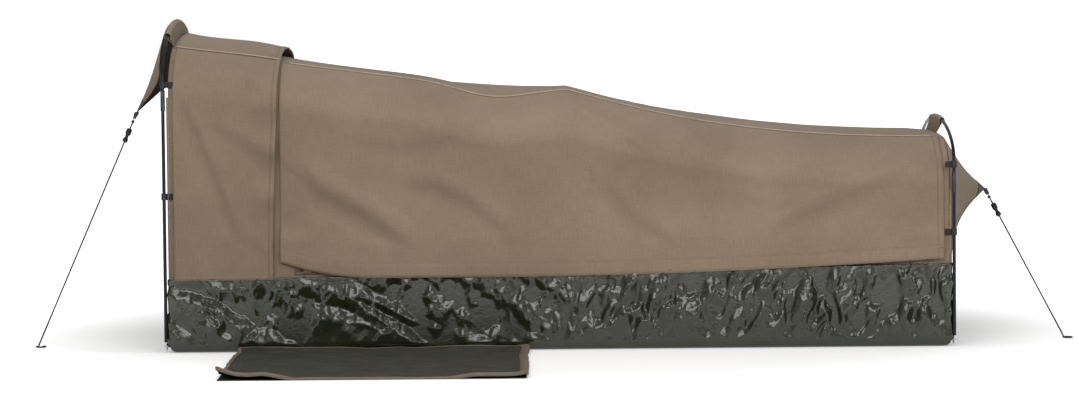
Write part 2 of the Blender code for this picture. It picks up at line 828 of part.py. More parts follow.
# Pole sleeves: a pocket round the arch with a skirt sewn to the end of the roof
def make_sleeve(label, x, start, rise, half_width, end_x, inward, spans, clearance):
    inner_radius = pole_radius + sleeve_slack
    outer_radius = inner_radius + sleeve_wall
    tail_x = end_x + inward * sleeve_tail_inset
    half_tail = sleeve_wall / 2
    around = 10
    outer_loops = []
    inner_loops = []
    for y in steps(-half_width, half_width, spans):
        centre = Vector((x, y, arch_height(y, start, rise)))
        tail = Vector((tail_x, y, skin_height(tail_x, y) + clearance))
        down = (tail - centre).normalized()
        side = Vector((down.z, 0.0, -down.x)).normalized()
        spread = math.asin(half_tail / outer_radius)
        outer = [tail - side * half_tail]
        inner = [centre + down * inner_radius]
        for k in range(around):
            angle = spread + (2 * math.pi - 2 * spread) * k / (around - 1)
            toward = down * math.cos(angle) - side * math.sin(angle)
            outer.append(centre + toward * outer_radius)
            inner.append(centre + toward * inner_radius)
        outer.append(tail + side * half_tail)
        inner.append(centre + down * inner_radius)
        outer_loops.append(outer)
        inner_loops.append(inner)
    rings = outer_loops + list(reversed(inner_loops))
    sleeve = loft(label + "_sleeve", rings, canvas, closed=True)
    work = bmesh.new()
    work.from_mesh(sleeve.data)
    bmesh.ops.remove_doubles(work, verts=work.verts, dist=fit_gap / 100)
    bmesh.ops.recalc_face_normals(work, faces=work.faces)
    work.to_mesh(sleeve.data)
    work.free()
    return sleeve


make_sleeve("head", -hoop_half_spacing, head_arch_start, head_arch_rise, head_sleeve_half_width,
            canopy_head_x, 1, 12, panel_gap)
make_sleeve("foot", hoop_half_spacing, foot_arch_start, foot_arch_rise, foot_sleeve_half_width,
            canopy_foot_x, -1, 6, sewn_gap)


# Hoods: each starts on a curve across the canopy's end and narrows to its guy point
def hood_rows(start_curve, tip, rows=6):
    """Lines from the start curve to the tip, slack in the middle, with hollow lower edges."""
    lines = []
    last = len(start_curve) - 1
    for share in steps(0.0, 1.0, rows):
        line = []
        for k, start in enumerate(start_curve):
            across = 2 * k / last - 1
            end = tip + Vector((0.0, across * hood_tip_half_width, 0.0))
            slack = hood_sag * math.sin(math.pi * share)
            upward = Vector((0.0, 0.0, slack * (abs(across) ** 4 * 2 - 1)))
            line.append(start.lerp(end, share) + upward)
        lines.append(line)
    return lines


head_hood_start = []
sleeve_reach = pole_radius + sleeve_slack + sleeve_wall
head_hood_x = -hoop_half_spacing - sleeve_reach - canvas_thickness - fit_gap
for hood_angle in steps(0.0, math.pi, 14):
    height = head_arch_start + head_arch_rise * math.sin(hood_angle)
    head_hood_start.append(Vector((head_hood_x, -leg_half_width * math.cos(hood_angle), height)))
cloth("head_hood", hood_rows(head_hood_start, head_hood_tip), canvas, canvas_thickness,
      (-1, 0, 0.5))

foot_hood_start = []
foot_hood_x = canopy_foot_x + sewn_gap + canvas_thickness
for z in steps(foot_hood_low, shoulder_height(canopy_foot_x), 3)[:-1]:
    foot_hood_start.append(Vector((foot_hood_x, -(canopy_half_width - hood_end_inset), z)))
for hood_angle in steps(0.0, edge_angle, 3):
    point = shoulder_point(canopy_foot_x, hood_angle, NEAR, -hood_end_inset)
    foot_hood_start.append(Vector((foot_hood_x, point.y, point.z)))
for y in steps(-seam_half_width, 0.0, 2)[1:]:
    height = roof_height(canopy_foot_x, y) - hood_end_inset
    foot_hood_start.append(Vector((foot_hood_x, y, height)))
foot_hood_start += [Vector((point.x, -point.y, point.z)) for point in reversed(foot_hood_start[:-1])]
cloth("foot_hood", hood_rows(foot_hood_start, foot_hood_tip), canvas, canvas_thickness,
      (1, 0, 0.5))


# Pole clips: a C that snaps on the leg, with a neck of webbing to the canopy's end
def make_clip(name, leg_x, side, height, end_x):
    inner = pole_radius + fit_gap
    outer = inner + clip_wall
    centre = Vector((leg_x, side * leg_half_width, height - clip_height / 2))
    anchor = Vector((end_x, side * (canopy_half_width - canvas_thickness / 2), centre.z))
    toward = (anchor - centre).normalized()
    reach = (anchor - centre).length - sewn_gap - clip_neck_width * abs(toward.y)
    across = Vector((-toward.y, toward.x, 0.0))
    spread = math.asin(clip_neck_width / 2 / outer)
    half_mouth = clip_mouth_angle / 2
    arc_steps = 6
    outline = []
    for angle in steps(spread, math.pi - half_mouth, arc_steps):
        outline.append(centre + toward * (outer * math.cos(angle)) + across * (outer * math.sin(angle)))
    for angle in steps(math.pi - half_mouth, -(math.pi - half_mouth), 2 * arc_steps):
        outline.append(centre + toward * (inner * math.cos(angle)) + across * (inner * math.sin(angle)))
    for angle in steps(-(math.pi - half_mouth), -spread, arc_steps):
        outline.append(centre + toward * (outer * math.cos(angle)) + across * (outer * math.sin(angle)))
    outline.append(centre + toward * reach - across * (clip_neck_width / 2))
    outline.append(centre + toward * reach + across * (clip_neck_width / 2))
    top = [point + Z_AXIS * clip_height for point in outline]
    return loft(name, [outline, top], clip_plastic, smooth=False)


clip_levels = ("low", "high")
for end_name, leg_x, end_x, heights in (
        ("head", -hoop_half_spacing, canopy_head_x, clip_heights_head),
        ("foot", hoop_half_spacing, canopy_foot_x, clip_heights_foot)):
    for level_name, height in zip(clip_levels, heights):
        for side_name, side in (("near", NEAR), ("far", FAR)):
            make_clip(f"{end_name}_clip_{side_name}_{level_name}", leg_x, side, height, end_x)


# Feet: a pin up the leg's bore, a ring through its eye, and a webbing loop that holds the ring
def make_foot(label, leg_x, side, wall_x, outward):
    inwards = Vector((0.0, -side, 0.0))
    shaft = Vector((leg_x, side * leg_half_width, pin_eye_height))
    eye_centre = shaft + inwards * pin_eye_radius
    bend = pin_wire_radius
    path = [shaft + Z_AXIS * (pin_top_height - pin_eye_height), shaft + Z_AXIS * (2 * bend)]
    for angle in steps(pin_eye_start, pin_eye_end, 12):
        path.append(eye_centre - inwards * (pin_eye_radius * math.cos(angle))
                    + X_AXIS * (outward * pin_eye_radius * math.sin(angle)))
    tube(label + "_pin", path, pin_wire_radius, chrome, 1)

    ring_centre = eye_centre + inwards * ring_radius
    ring_rings = []
    for angle in steps(0.0, 2 * math.pi, 18)[:-1]:
        radial = inwards * math.cos(angle) + Z_AXIS * math.sin(angle)
        ring_rings.append(circle(ring_centre + radial * ring_radius, ring_wire_radius, radial,
                                 X_AXIS, 6))
    loft(label + "_ring", ring_rings, chrome, closed=True)

    held = ring_centre + inwards * ring_radius
    out = X_AXIS * outward
    wall = Vector((wall_x, held.y, held.z - tab_height / 2)) + out * fit_gap
    loop_centre = Vector((leg_x, held.y, wall.z))
    loop_outer = tab_bore_radius + tab_thickness
    outline = [wall + inwards * tab_wall_length, wall]
    for angle in steps(0.0, tab_wrap_angle, 8):
        outline.append(loop_centre - out * (loop_outer * math.cos(angle))
                       - inwards * (loop_outer * math.sin(angle)))
    outline.append(wall + out * tab_thickness + inwards * (2 * loop_outer))
    outline.append(wall + out * tab_thickness + inwards * tab_wall_length)
    raised = [point + Z_AXIS * tab_height for point in outline]
    tab = loft(label + "_tab", [outline, raised], webbing, smooth=False)
    cutter = lathe(label + "_tab_hole",
                   ((tab_bore_radius, -tab_height), (tab_bore_radius, 2 * tab_height)),
                   loop_centre, Z_AXIS, webbing, 10)
    cutter.hide_render = True
    cutter.display_type = "WIRE"
    cut = tab.modifiers.new("ring_hole", "BOOLEAN")
    cut.operation = "DIFFERENCE"
    cut.object = cutter


for end_name, leg_x, wall_x, outward in (("head", -hoop_half_spacing, tub_head_x, -1),
                                         ("foot", hoop_half_spacing, tub_foot_x, 1)):
    for side_name, side in (("near", NEAR), ("far", FAR)):
        make_foot(f"{end_name}_{side_name}", leg_x, side, wall_x, outward)


# Guy ropes: webbing on the hood's tip, a taut rope with a runner, and a loop on the ground
runner_shares = ((0.0, 0.75), (0.06, 1.0), (0.38, 1.0), (0.52, 0.0), (0.66, 0.0),
                 (0.80, 0.9), (0.94, 0.9), (1.0, 0.6))


def make_guy(label, tip, route):
    rope_start = Vector(route[0])
    away = (Vector(route[1]) - rope_start).normalized()
    tab_start = tip + away * canvas_thickness
    tab_end = tab_start + away * guy_tab_length
    across = away.cross(Z_AXIS).normalized()
    thick = across.cross(away).normalized()
    tab_rings = []
    for centre in (tab_start, tab_end):
        tab_rings.append([centre + across * (guy_tab_width / 2 * a) + thick * (guy_tab_thickness / 2 * b)
                          for a, b in ((-1, -1), (1, -1), (1, 1), (-1, 1))])
    loft(label + "_guy_tab", tab_rings, webbing, smooth=False)
    tube(label + "_guy_rope", smooth_route(route, rope_steps_per_span), rope_radius, rope_fibre, 2)

    bore = rope_radius + runner_bore_gap
    outer = [(runner_waist_radius + (runner_radius - runner_waist_radius) * bulge,
              runner_start + runner_length * along) for along, bulge in runner_shares]
    bored = [(bore, runner_start + runner_length), (bore, runner_start)]
    runner = lathe(label + "_runner", outer + bored, rope_start, away, clip_plastic, 12, closed=True)
    move_origin(runner, rope_start)


make_guy("head", head_hood_tip, head_rope_route)
make_guy("foot", foot_hood_tip, foot_rope_route)


# Zip: tape and coil as one section along the sill, and a slider that straddles the coil
def sill_frame(x, out, up):
    """A point out from the canvas and up from the tub's rim line."""
    return Vector((x, -(canopy_half_width + out), rim_height(x) + up))


coil_low = zip_base + (zip_height - zip_coil_height) / 2
coil_high = coil_low + zip_coil_height
tape_back = sewn_gap
tape_front = tape_back + zip_tape_thickness
coil_front = tape_front + zip_coil_depth
tape_section = ((tape_back, zip_base), (tape_front, zip_base), (tape_front, coil_low),
                (coil_front, coil_low), (coil_front, coil_high), (tape_front, coil_high),
                (tape_front, zip_base + zip_height), (tape_back, zip_base + zip_height))
loft("sill_zip", [[sill_frame(x, out, up) for out, up in tape_section]
                  for x in (zip_head_x, zip_foot_x)], zip_nylon, smooth=False)

slider_back = tape_front + sewn_gap
slider_front = tape_front + slider_depth
slider_low = (coil_low + coil_high - slider_height) / 2
slider_high = slider_low + slider_height
groove_front = coil_front + sewn_gap
groove_low = coil_low - sewn_gap
groove_high = coil_high + sewn_gap
slider_section = ((slider_back, slider_low), (slider_front, slider_low),
                  (slider_front, slider_high), (slider_back, slider_high),
                  (slider_back, groove_high), (groove_front, groove_high),
                  (groove_front, groove_low), (slider_back, groove_low))
slider = loft("zip_slider", [[sill_frame(x, out, up) for out, up in slider_section]
                             for x in (slider_x, slider_x + slider_length)],
              ferrule_metal, smooth=False)
pull_back = slider_front - slider_pull_thickness
pull_middle = (slider_low + slider_high) / 2
pull_section = ((pull_back, pull_middle - slider_pull_width / 2),
                (slider_front, pull_middle - slider_pull_width / 2),
                (slider_front, pull_middle + slider_pull_width / 2),
                (pull_back, pull_middle + slider_pull_width / 2))
pull = loft("zip_pull_tongue", [[sill_frame(x, out, up) for out, up in pull_section]
                                for x in (slider_x + slider_length / 2,
                                          slider_x + slider_length + slider_pull_length)],
            ferrule_metal, smooth=False)
pull.hide_render = True
pull.display_type = "WIRE"
join_pull = slider.modifiers.new("pull", "BOOLEAN")
join_pull.operation = "UNION"
join_pull.object = pull
move_origin(slider, sill_frame(slider_x, tape_front, pull_middle))


# Boot mat: rear edge pushed up against the tub, front corner towards the head curled off the ground
def mat_height(x, y):
    back_share = (y - mat_front_y) / (mat_rear_y - mat_front_y)
    turn = 2 * math.pi * mat_wave_turns * (x - mat_head_x) / (mat_foot_x - mat_head_x)
    wave = 1 + mat_wave_share * math.sin(turn)
    rear = mat_rear_lift * wave * smooth_step(1 - (1 - back_share) / mat_rear_band_share)
    corner_x = smooth_step(1 - (x - mat_head_x) / mat_corner_reach)
    corner_y = smooth_step(1 - (y - mat_front_y) / mat_corner_reach)
    return mat_thickness + rear + mat_corner_lift * corner_x * corner_y


mat_depth_shares = (0.0, 0.09, 0.18, 0.30, 0.60, 0.88, 0.93, 0.97, 1.0)
mat_length_shares = (0.0, 0.08, 0.16, 0.25, 0.40, 0.55, 0.70, 0.85, 1.0)
mat_rows = []
for depth_share in mat_depth_shares:
    y = mat_front_y + (mat_rear_y - mat_front_y) * depth_share
    mat_row = []
    for length_share in mat_length_shares:
        x = mat_head_x + (mat_foot_x - mat_head_x) * length_share
        mat_row.append(Vector((x, y, mat_height(x, y))))
    mat_rows.append(mat_row)
cloth("entry_mat", mat_rows, mat_fabric, mat_thickness, (0, 0, 1))
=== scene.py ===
"""The looks of a single swag bedroll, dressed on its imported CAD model.

Metres, +Z up, in the CAD model's frame: the head end is at -X, the foot at +X, and the door faces -Y.
"""
import math

import bmesh
import bpy
import numpy as np
from mathutils import Matrix, Vector


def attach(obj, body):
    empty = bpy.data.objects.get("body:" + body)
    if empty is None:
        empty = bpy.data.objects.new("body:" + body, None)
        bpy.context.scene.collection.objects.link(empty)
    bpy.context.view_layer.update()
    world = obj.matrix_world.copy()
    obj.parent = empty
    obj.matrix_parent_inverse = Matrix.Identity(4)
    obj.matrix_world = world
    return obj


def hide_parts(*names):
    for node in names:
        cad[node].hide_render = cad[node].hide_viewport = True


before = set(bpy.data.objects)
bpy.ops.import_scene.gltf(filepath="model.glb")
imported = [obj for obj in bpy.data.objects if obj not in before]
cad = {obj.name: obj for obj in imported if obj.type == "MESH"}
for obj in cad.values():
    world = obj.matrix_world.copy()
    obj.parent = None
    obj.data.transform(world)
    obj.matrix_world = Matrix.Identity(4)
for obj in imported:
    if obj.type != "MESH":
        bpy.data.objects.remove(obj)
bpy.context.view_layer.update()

# Tub: a bucket welded from glossy PVC-coated cloth. It has been folded and rolled with the bed, so
# its walls are full of sharp creases, long diagonal ones towards the head and fine ones at the foot.
tub_head_x, tub_foot_x, tub_half_width = -1.067, 1.070, 0.450
tub_rim_head, tub_rim_foot = 0.200, 0.228
tub_edge_radius, tub_corner_radius, tub_cloth, tub_floor_reach = 0.018, 0.006, 0.0018, 0.42
tub_corner_steps, tub_steps_along, tub_steps_across, tub_wall_rows = 6, 560, 170, 58
head_crease, foot_crease, fine_crease, tub_ease = 0.0310, 0.0350, 0.0076, 0.0060
table_size = 64


class Wire:
    """One socket of a material's nodes. Arithmetic on it adds Math nodes."""

    def __init__(self, tree, socket=None):
        self.tree = tree
        self.socket = socket

    def node(self, kind, sockets=None, output=0, **settings):
        """Add a node with its settings, and the value or the wire of each of its sockets."""
        made = self.tree.nodes.new(kind)
        for name, value in settings.items():
            setattr(made, name, value)
        for name, value in (sockets or {}).items():
            if isinstance(value, Wire):
                self.tree.links.new(value.socket, made.inputs[name])
            else:
                made.inputs[name].default_value = value
        return Wire(self.tree, made.outputs[output])

    def maths(self, operation, *values):
        return self.node("ShaderNodeMath", dict(enumerate(values)), operation=operation)

    def __add__(self, other):
        return self.maths("ADD", self, other)

    def __sub__(self, other):
        return self.maths("SUBTRACT", self, other)

    def __mul__(self, other):
        return self.maths("MULTIPLY", self, other)

    __radd__, __rmul__ = __add__, __mul__

    def clamped(self):
        return self.maths("MINIMUM", self.maths("MAXIMUM", self, 0.0), 1.0)

    def sine(self):
        return self.maths("SINE", self)

    def places(self):
        """Places on the piece, in metres, in the CAD model's frame."""
        return self.node("ShaderNodeTexCoord", output=3)

    def on_cloth(self):
        """Places on the flat cloth, in metres along and across its weave."""
        return self.node("ShaderNodeUVMap", uv_map="cut")

    def stretched(self, scale, turn=(0.0, 0.0, 0.0)):
        return self.node("ShaderNodeMapping", {"Vector": self, "Scale": scale, "Rotation": turn})

    def noise(self, scale, detail=3.0, rough=0.55, warp=0.0):
        return self.node("ShaderNodeTexNoise", {"Vector": self, "Scale": scale, "Detail": detail,
                                                "Roughness": rough, "Distortion": warp})

    def part(self, axis):
        return self.node("ShaderNodeSeparateXYZ", {0: self}, output="XYZ".index(axis))

    def threads(self, first_axis, first_scale, second_axis, second_scale):
        """A weave: waves along one axis times waves along another."""
        return (self.part(first_axis) * first_scale).sine() * (self.part(second_axis) * second_scale).sine()

    def mixed(self, first, second):
        """A colour that goes from the first to the second as this wire goes from 0 to 1."""
        return self.node("ShaderNodeMix", {0: self, 6: (*first, 1.0), 7: (*second, 1.0)}, output=2,
                         data_type="RGBA", clamp_factor=True)

    def between(self, low, high):
        """0 below the low value, 1 above the high one, and smooth between."""
        return self.node("ShaderNodeMapRange", {"Value": self, "From Min": low, "From Max": high},
                         interpolation_type="SMOOTHSTEP")

    def bump(self, distance, strength=1.0, **over):
        return self.node("ShaderNodeBump", {"Height": self, "Distance": distance, "Strength": strength,
                                            **over})


def new_finish(name, slot, **plain):
    """A material, a wire for its nodes, and a way to set its shader's sockets. The slot argument is not used.
    """
    material = bpy.data.materials.new(name)
    material.use_nodes = True
    shader = material.node_tree.nodes["Principled BSDF"]
    for socket, value in plain.items():
        shader.inputs[socket.replace("_", " ")].default_value = value

    def give(**driven):
        for socket, wire in driven.items():
            material.node_tree.links.new(wire.socket, shader.inputs[socket.replace("_", " ")])

    return material, Wire(material.node_tree), give


def put_on(name, data, finish, body, node):
    """A piece on its body, in place of the CAD node if it has one."""
    data.materials.append(finish)
    piece = bpy.data.objects.new(name, data)
    bpy.context.scene.collection.objects.link(piece)
    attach(piece, body)
    if node:
        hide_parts(node)
    return piece


def sew(name, grid, finish, thickness, facing, node=None, body="shell", ring=False):
    """A sheet through a grid of points, thickened behind the face that looks along facing."""
    grid = np.array(grid)
    rows, columns = grid.shape[:2]
    index = np.arange(rows * columns).reshape(rows, columns)
    full = grid
    if ring:
        index, full = (np.concatenate([values, values[:, :1]], 1) for values in (index, grid))
    step_u = np.linalg.norm(np.diff(full, axis=1), axis=2).mean(0)
    step_v = np.linalg.norm(np.diff(grid, axis=0), axis=2).mean(1)
    u, v = np.meshgrid(np.concatenate([[0], step_u.cumsum()]), np.concatenate([[0], step_v.cumsum()]))

    def corners(values):
        return np.stack([values[:-1, :-1], values[:-1, 1:], values[1:, 1:], values[1:, :-1]], 2)

    faces = corners(index).reshape(-1, 4)
    cut = corners(np.stack([u, v], 2)).reshape(-1, 4, 2)
    points = grid.reshape(-1, 3)
    turned_to = np.cross(points[faces[:, 2]] - points[faces[:, 0]], points[faces[:, 3]] - points[faces[:, 1]])
    outward = facing(points[faces].mean(1)) if callable(facing) else np.array(facing, float)
    if (turned_to * outward).sum() < 0:
        faces, cut = faces[:, ::-1], cut[:, ::-1]
    mesh = bpy.data.meshes.new(name)
    mesh.from_pydata(points.tolist(), [], faces.tolist())
    mesh.uv_layers.new(name="cut").uv.foreach_set("vector", cut.reshape(-1).astype(np.float32))
    mesh.shade_smooth()
    piece = put_on(name, mesh, finish, body, node)
    if thickness:
        solid = piece.modifiers.new("thickness", "SOLIDIFY")
        solid.thickness = thickness
        solid.offset = -1
    return piece


def eased(value):
    value = np.clip(value, 0, 1)
    return value * value * (3 - 2 * value)


def table_corners(u, v, seed, reach):
    """Chance numbers at the four corners of each place's cell, and the place's share across and up it."""
    table = np.random.RandomState(seed).uniform(-reach, reach, (table_size, table_size))
    i, j = np.floor(u).astype(int), np.floor(v).astype(int)
    s, t = u - i, v - j
    i, j, i_next, j_next = i % table_size, j % table_size, (i + 1) % table_size, (j + 1) % table_size
    return table[i, j], table[i_next, j], table[i, j_next], table[i_next, j_next], s, t


def soft_noise(u, v, seed):
    """Smooth noise from -1 to 1 with a hump or hollow for each unit of u and v."""
    start, beside, above, end, s, t = table_corners(u, v, seed, 1.0)
    s, t = eased(s), eased(t)
    low, high = start * (1 - s) + beside * s, above * (1 - s) + end * s
    return low * (1 - t) + high * t


def faceted(u, v, seed):
    """Crumpled cloth, half a unit out and in: flat facets, which meet at sharp creases."""
    u_drift, v_drift = (0.55 * soft_noise(u * 0.8, v * 0.8, seed + k) for k in (1, 2))
    start, beside, above, end, s, t = table_corners(u + u_drift, v + v_drift, seed, 0.5)
    return np.where(s > t, start + s * (beside - start) + t * (end - beside),
                    start + t * (above - start) + s * (end - above))


def rim_height(x):
    return tub_rim_head + (tub_rim_foot - tub_rim_head) * (x - tub_head_x) / (tub_foot_x - tub_head_x)


def rounded_path(half_x, half_y, radius, middle, corner_steps, steps_along, steps_across, first=0):
    """Points and outward directions round a rounded rectangle, from its first corner on."""
    spots = []
    for corner in range(first, first + 4):
        sx, sy = ((1, 1), (-1, 1), (-1, -1), (1, -1))[corner % 4]
        for k in range(corner_steps + 1):
            angle = math.pi / 2 * (corner + k / corner_steps)
            out_x, out_y = math.cos(angle), math.sin(angle)
            spots.append((middle[0] + sx * (half_x - radius) + radius * out_x,
                          middle[1] + sy * (half_y - radius) + radius * out_y, out_x, out_y))
        start = spots[-1]
        count = steps_across if corner % 2 else steps_along
        along_x, along_y = -2 * sx * (half_x - radius), -2 * sy * (half_y - radius)
        along_x, along_y = (0, along_y) if corner % 2 else (along_x, 0)
        for k in range(1, count):
            spots.append((start[0] + along_x * k / count, start[1] + along_y * k / count, *start[2:]))
    return np.array(spots)


def tub_path(inset):
    """Points round the tub, starting at the far side's head corner."""
    return rounded_path((tub_foot_x - tub_head_x) / 2 - inset, tub_half_width - inset, tub_corner_radius,
                        ((tub_head_x + tub_foot_x) / 2, 0.0), tub_corner_steps, tub_steps_along,
                        tub_steps_across, 1)


def tub_creases(t, z, x, on_end):
    """How far the crumpled wall stands out, at a place t along the wall and z up it."""
    head_share = 1 - eased((x + 0.20) / 0.45)
    down_fold, along_fold = 0.57 * t + 0.82 * z, 0.82 * t - 0.57 * z
    long_folds = faceted(down_fold / 0.040, along_fold / 0.170, 11) * head_crease
    short = faceted(t / 0.032 + z / 0.16, z / 0.066 - t / 0.20, 12) * foot_crease
    cross = faceted(t / 0.021 - z / 0.08, z / 0.042 + t / 0.11, 15) * foot_crease * 0.6
    fine = faceted(t / 0.011 + z / 0.05, z / 0.022 + t / 0.07, 13) * fine_crease
    upper = 0.42 + 0.58 * eased((z - 0.030) / 0.050)
    rise = head_share * (long_folds + 0.40 * (short + cross)) + (1 - head_share) * (short + cross) * upper
    near_rim = eased((rim_height(x) - z) / 0.045)
    corner = np.maximum(eased(np.minimum(x - tub_head_x, tub_foot_x - x) / 0.04), on_end)
    swing = (rise + fine * upper) * (0.34 + 0.66 * near_rim) * (0.40 + 0.60 * corner)
    return np.maximum(tub_ease + swing, 0) * eased(z / 0.030)


def level(path, z):
    return np.column_stack([path[:, :2], np.full(len(path), z)])


tub_rows = [level(tub_path(tub_edge_radius + (1 - share) * tub_floor_reach), 0.0)
            for share in (0.30, 0.75, 1.0)]
for turn in np.linspace(0, math.pi / 2, 6)[1:]:
    tub_rows.append(level(tub_path(tub_edge_radius * (1 - math.sin(turn))),
                          tub_edge_radius * (1 - math.cos(turn))))
wall_x, wall_y, wall_out_x, wall_out_y = tub_path(0.0).T
on_end = (np.abs(wall_out_y) < 0.5) * 1.0
wall_place = np.where(on_end > 0, wall_y + 3.1 * np.sign(wall_x), wall_x + 6.4 * (wall_out_y > 0))
for share in np.linspace(0, 1, tub_wall_rows + 1)[1:]:
    height = tub_edge_radius + (rim_height(wall_x) - tub_edge_radius) * share
    out = tub_creases(wall_place, height, wall_x, on_end)
    tub_rows.append(np.column_stack([wall_x + out * wall_out_x, wall_y + out * wall_out_y, height]))

pvc, wire, give = new_finish("olive_pvc", "olive_pvc", Specular_IOR_Level=0.76)
spot = wire.places()
grime = spot.noise(5.0, 4.0)
scuffs = spot.stretched((1.0, 1.0, 2.5)).noise(38.0, 5.0, 0.65)
puckers = spot.stretched((1.0, 1.0, 1.3), (0.0, 0.6, 0.0)).noise(60.0, 2.0, 0.5, 1.2)
cloth_print = spot.noise(900.0, 1.0)
give(Base_Color=(grime * 0.6 + scuffs * 0.4).mixed((0.008, 0.010, 0.003), (0.024, 0.029, 0.010)),
     Roughness=0.12 + scuffs * 0.20,
     Normal=cloth_print.bump(0.0001, 0.2, Normal=puckers.bump(0.0016, 0.45)))
sew("tub_shell", tub_rows, pvc, tub_cloth, lambda at: at * [1, 1, 0.0], "pvc_tub", ring=True)

# Mattress: a slab of foam in a sewn cover, seen through the doorway. Its faces crown a little, its
# sides pull in between the edges, and a piped seam runs round the top and the bottom edge.
mattress_half_length, mattress_half_width, mattress_height = 1.045, 0.425, 0.070
mattress_base, mattress_corner, mattress_edge, mattress_crown = 0.0032, 0.030, 0.006, 0.0055
mattress_insets = (0.012, 0.04, 0.09, 0.16, 0.24, 0.33, 0.40, 0.419)
pipe_radius, pipe_inset = 0.0035, 0.0005


def rounded_outline(half_x, half_y, radius, middle=(0.0, 0.0)):
    return rounded_path(half_x, half_y, radius, middle, 8, 70, 28)


def mattress_ring(inset, height, crown=0.0):
    line = rounded_outline(mattress_half_length - inset, mattress_half_width - inset,
                           max(mattress_corner - inset, 0.004))
    lift = crown * 0.0022 * soft_noise(line[:, 0] / 0.23, line[:, 1] / 0.19, 61)
    return np.column_stack([line[:, :2], mattress_base + height + lift])


mattress_rings = [mattress_ring(0.30, 0.0), mattress_ring(0.012, 0.0)]
for share in np.linspace(0, 1, 9):
    mattress_rings.append(mattress_ring(0.001 + 0.004 * math.sin(math.pi * share),
                                        mattress_edge + (mattress_height - 2 * mattress_edge) * share))
for inset in mattress_insets:
    rise = mattress_crown * math.sin(min(1.0, inset / 0.2) * math.pi / 2)
    mattress_rings.append(mattress_ring(inset, mattress_height + rise, 1.0))

ticking, wire, give = new_finish("mattress_cover", "mattress_cover", Roughness=0.9, Sheen_Weight=0.15)
place = wire.places()
mottle = place.noise(9.0, 4.0)
give(Base_Color=(mottle * 0.7 + place.noise(420.0, 2.0) * 0.3).mixed((0.062, 0.058, 0.048),
                                                                      (0.100, 0.094, 0.079)),
     Roughness=0.82 + mottle * 0.14, Normal=place.threads("X", 2400.0, "Y", 2400.0).bump(0.0003, 0.5))


def mend(mesh, fill=False, join=0.0):
    """Fill a mesh's holes, join its doubled points, and turn its faces outward."""
    work = bmesh.new()
    work.from_mesh(mesh)
    if join:
        bmesh.ops.remove_doubles(work, verts=work.verts, dist=join)
    if fill:
        bmesh.ops.holes_fill(work, edges=[e for e in work.edges if e.is_boundary])
    bmesh.ops.recalc_face_normals(work, faces=work.faces)
    work.to_mesh(mesh)
    work.free()


def closed_rings(name, rings, finish, node):
    """A closed body through a row of rings, with its first and last ring filled."""
    piece = sew(name, rings, finish, 0, lambda at: at - at.mean(0), node, ring=True)
    mend(piece.data, fill=True)
    return piece


def bar(name, points, radius, finish, node=None, body="shell", loop=False, round_steps=3):
    """A round bar, wire or cord along a line of points."""
    curve = bpy.data.curves.new(name, "CURVE")
    curve.dimensions = "3D"
    spline = curve.splines.new("POLY")
    spline.points.add(len(points) - 1)
    for spot, point in zip(spline.points, points):
        spot.co = (*point, 1.0)
    spline.use_cyclic_u = loop
    spline.use_smooth = True
    curve.bevel_depth = radius
    curve.bevel_resolution = round_steps
    curve.use_fill_caps = not loop
    return put_on(name, curve, finish, body, node)


mattress = closed_rings("mattress_pad", mattress_rings, ticking, "mattress")
pipe_line = rounded_outline(mattress_half_length - pipe_inset, mattress_half_width - pipe_inset,
                            mattress_corner - pipe_inset)
for name, height in (("top", mattress_height - 0.004), ("bottom", mattress_edge)):
    bar(f"mattress_piping_{name}", level(pipe_line, mattress_base + height), pipe_radius, ticking, loop=True)

# Fixed canopy: heavy ripstop canvas in panels, sewn along two seams and tucked into the tub. The
# hoops stretch it, so it hangs a little between them and creases run from the inner hoop's peak.
canopy_head_x, canopy_foot_x, canopy_half_width = -1.064, 1.067, 0.447
seam_half_width, shoulder_rise, seam_gap = 0.290, 0.125, 0.0013
peak_x, peak_height = 0.025, 0.706
ridge_head, ridge_foot, seam_head, seam_foot = 0.866, 0.572, 0.834, 0.566
seam_dip, seam_dip_x, seam_dip_length = 0.031, -0.180, 0.095
canvas_cloth, hem_gauge, hem_step = 0.0016, 0.0009, 0.0012
stitch_pitch, stitch_length, thread_width = 0.0042, 0.0030, 0.0007
panel_tuck, sill_top = 0.150, 0.300
doorway_head_x, doorway_foot_x = -0.700, 0.960
side_sag, sag_start = 0.010, 0.305
hoop_half_spacing = 1.078
NEAR, FAR = -1, 1
both_sides = (("near", NEAR), ("far", FAR))


def falling(x, head, foot, head_power, foot_power):
    """A line that drops from the head to the peak, then from the peak to the foot."""
    to_head = np.clip((peak_x - x) / (peak_x - canopy_head_x), 0, 1)
    to_foot = np.clip((x - peak_x) / (canopy_foot_x - peak_x), 0, 1)
    return np.where(x < peak_x, peak_height + (head - peak_height) * to_head ** head_power,
                    foot + (peak_height - foot) * (1 - to_foot) ** foot_power)


def ridge_height(x):
    slack = 0.006 * np.exp(-((x + 0.45) / 0.14) ** 2)
    filled = 0.0070 * eased((x - 0.25) / 0.20) * eased((canopy_foot_x - x) / 0.08)
    return falling(x, ridge_head, ridge_foot, 1.8, 2.2) - slack + filled


def seam_height(x):
    dip = seam_dip * np.exp(-((x - seam_dip_x) / seam_dip_length) ** 2 / 2)
    return falling(x, seam_head, seam_foot, 1.45, 2.4) - dip


def roof_height(x, y):
    return seam_height(x) + (ridge_height(x) - seam_height(x)) * (1 - (y / seam_half_width) ** 2)


def shoulder_height(x):
    return seam_height(x) - shoulder_rise


ellipse_height = shoulder_rise / math.sqrt(1 - (seam_half_width / canopy_half_width) ** 2)
edge_angle = math.acos((seam_half_width + seam_gap) / canopy_half_width)


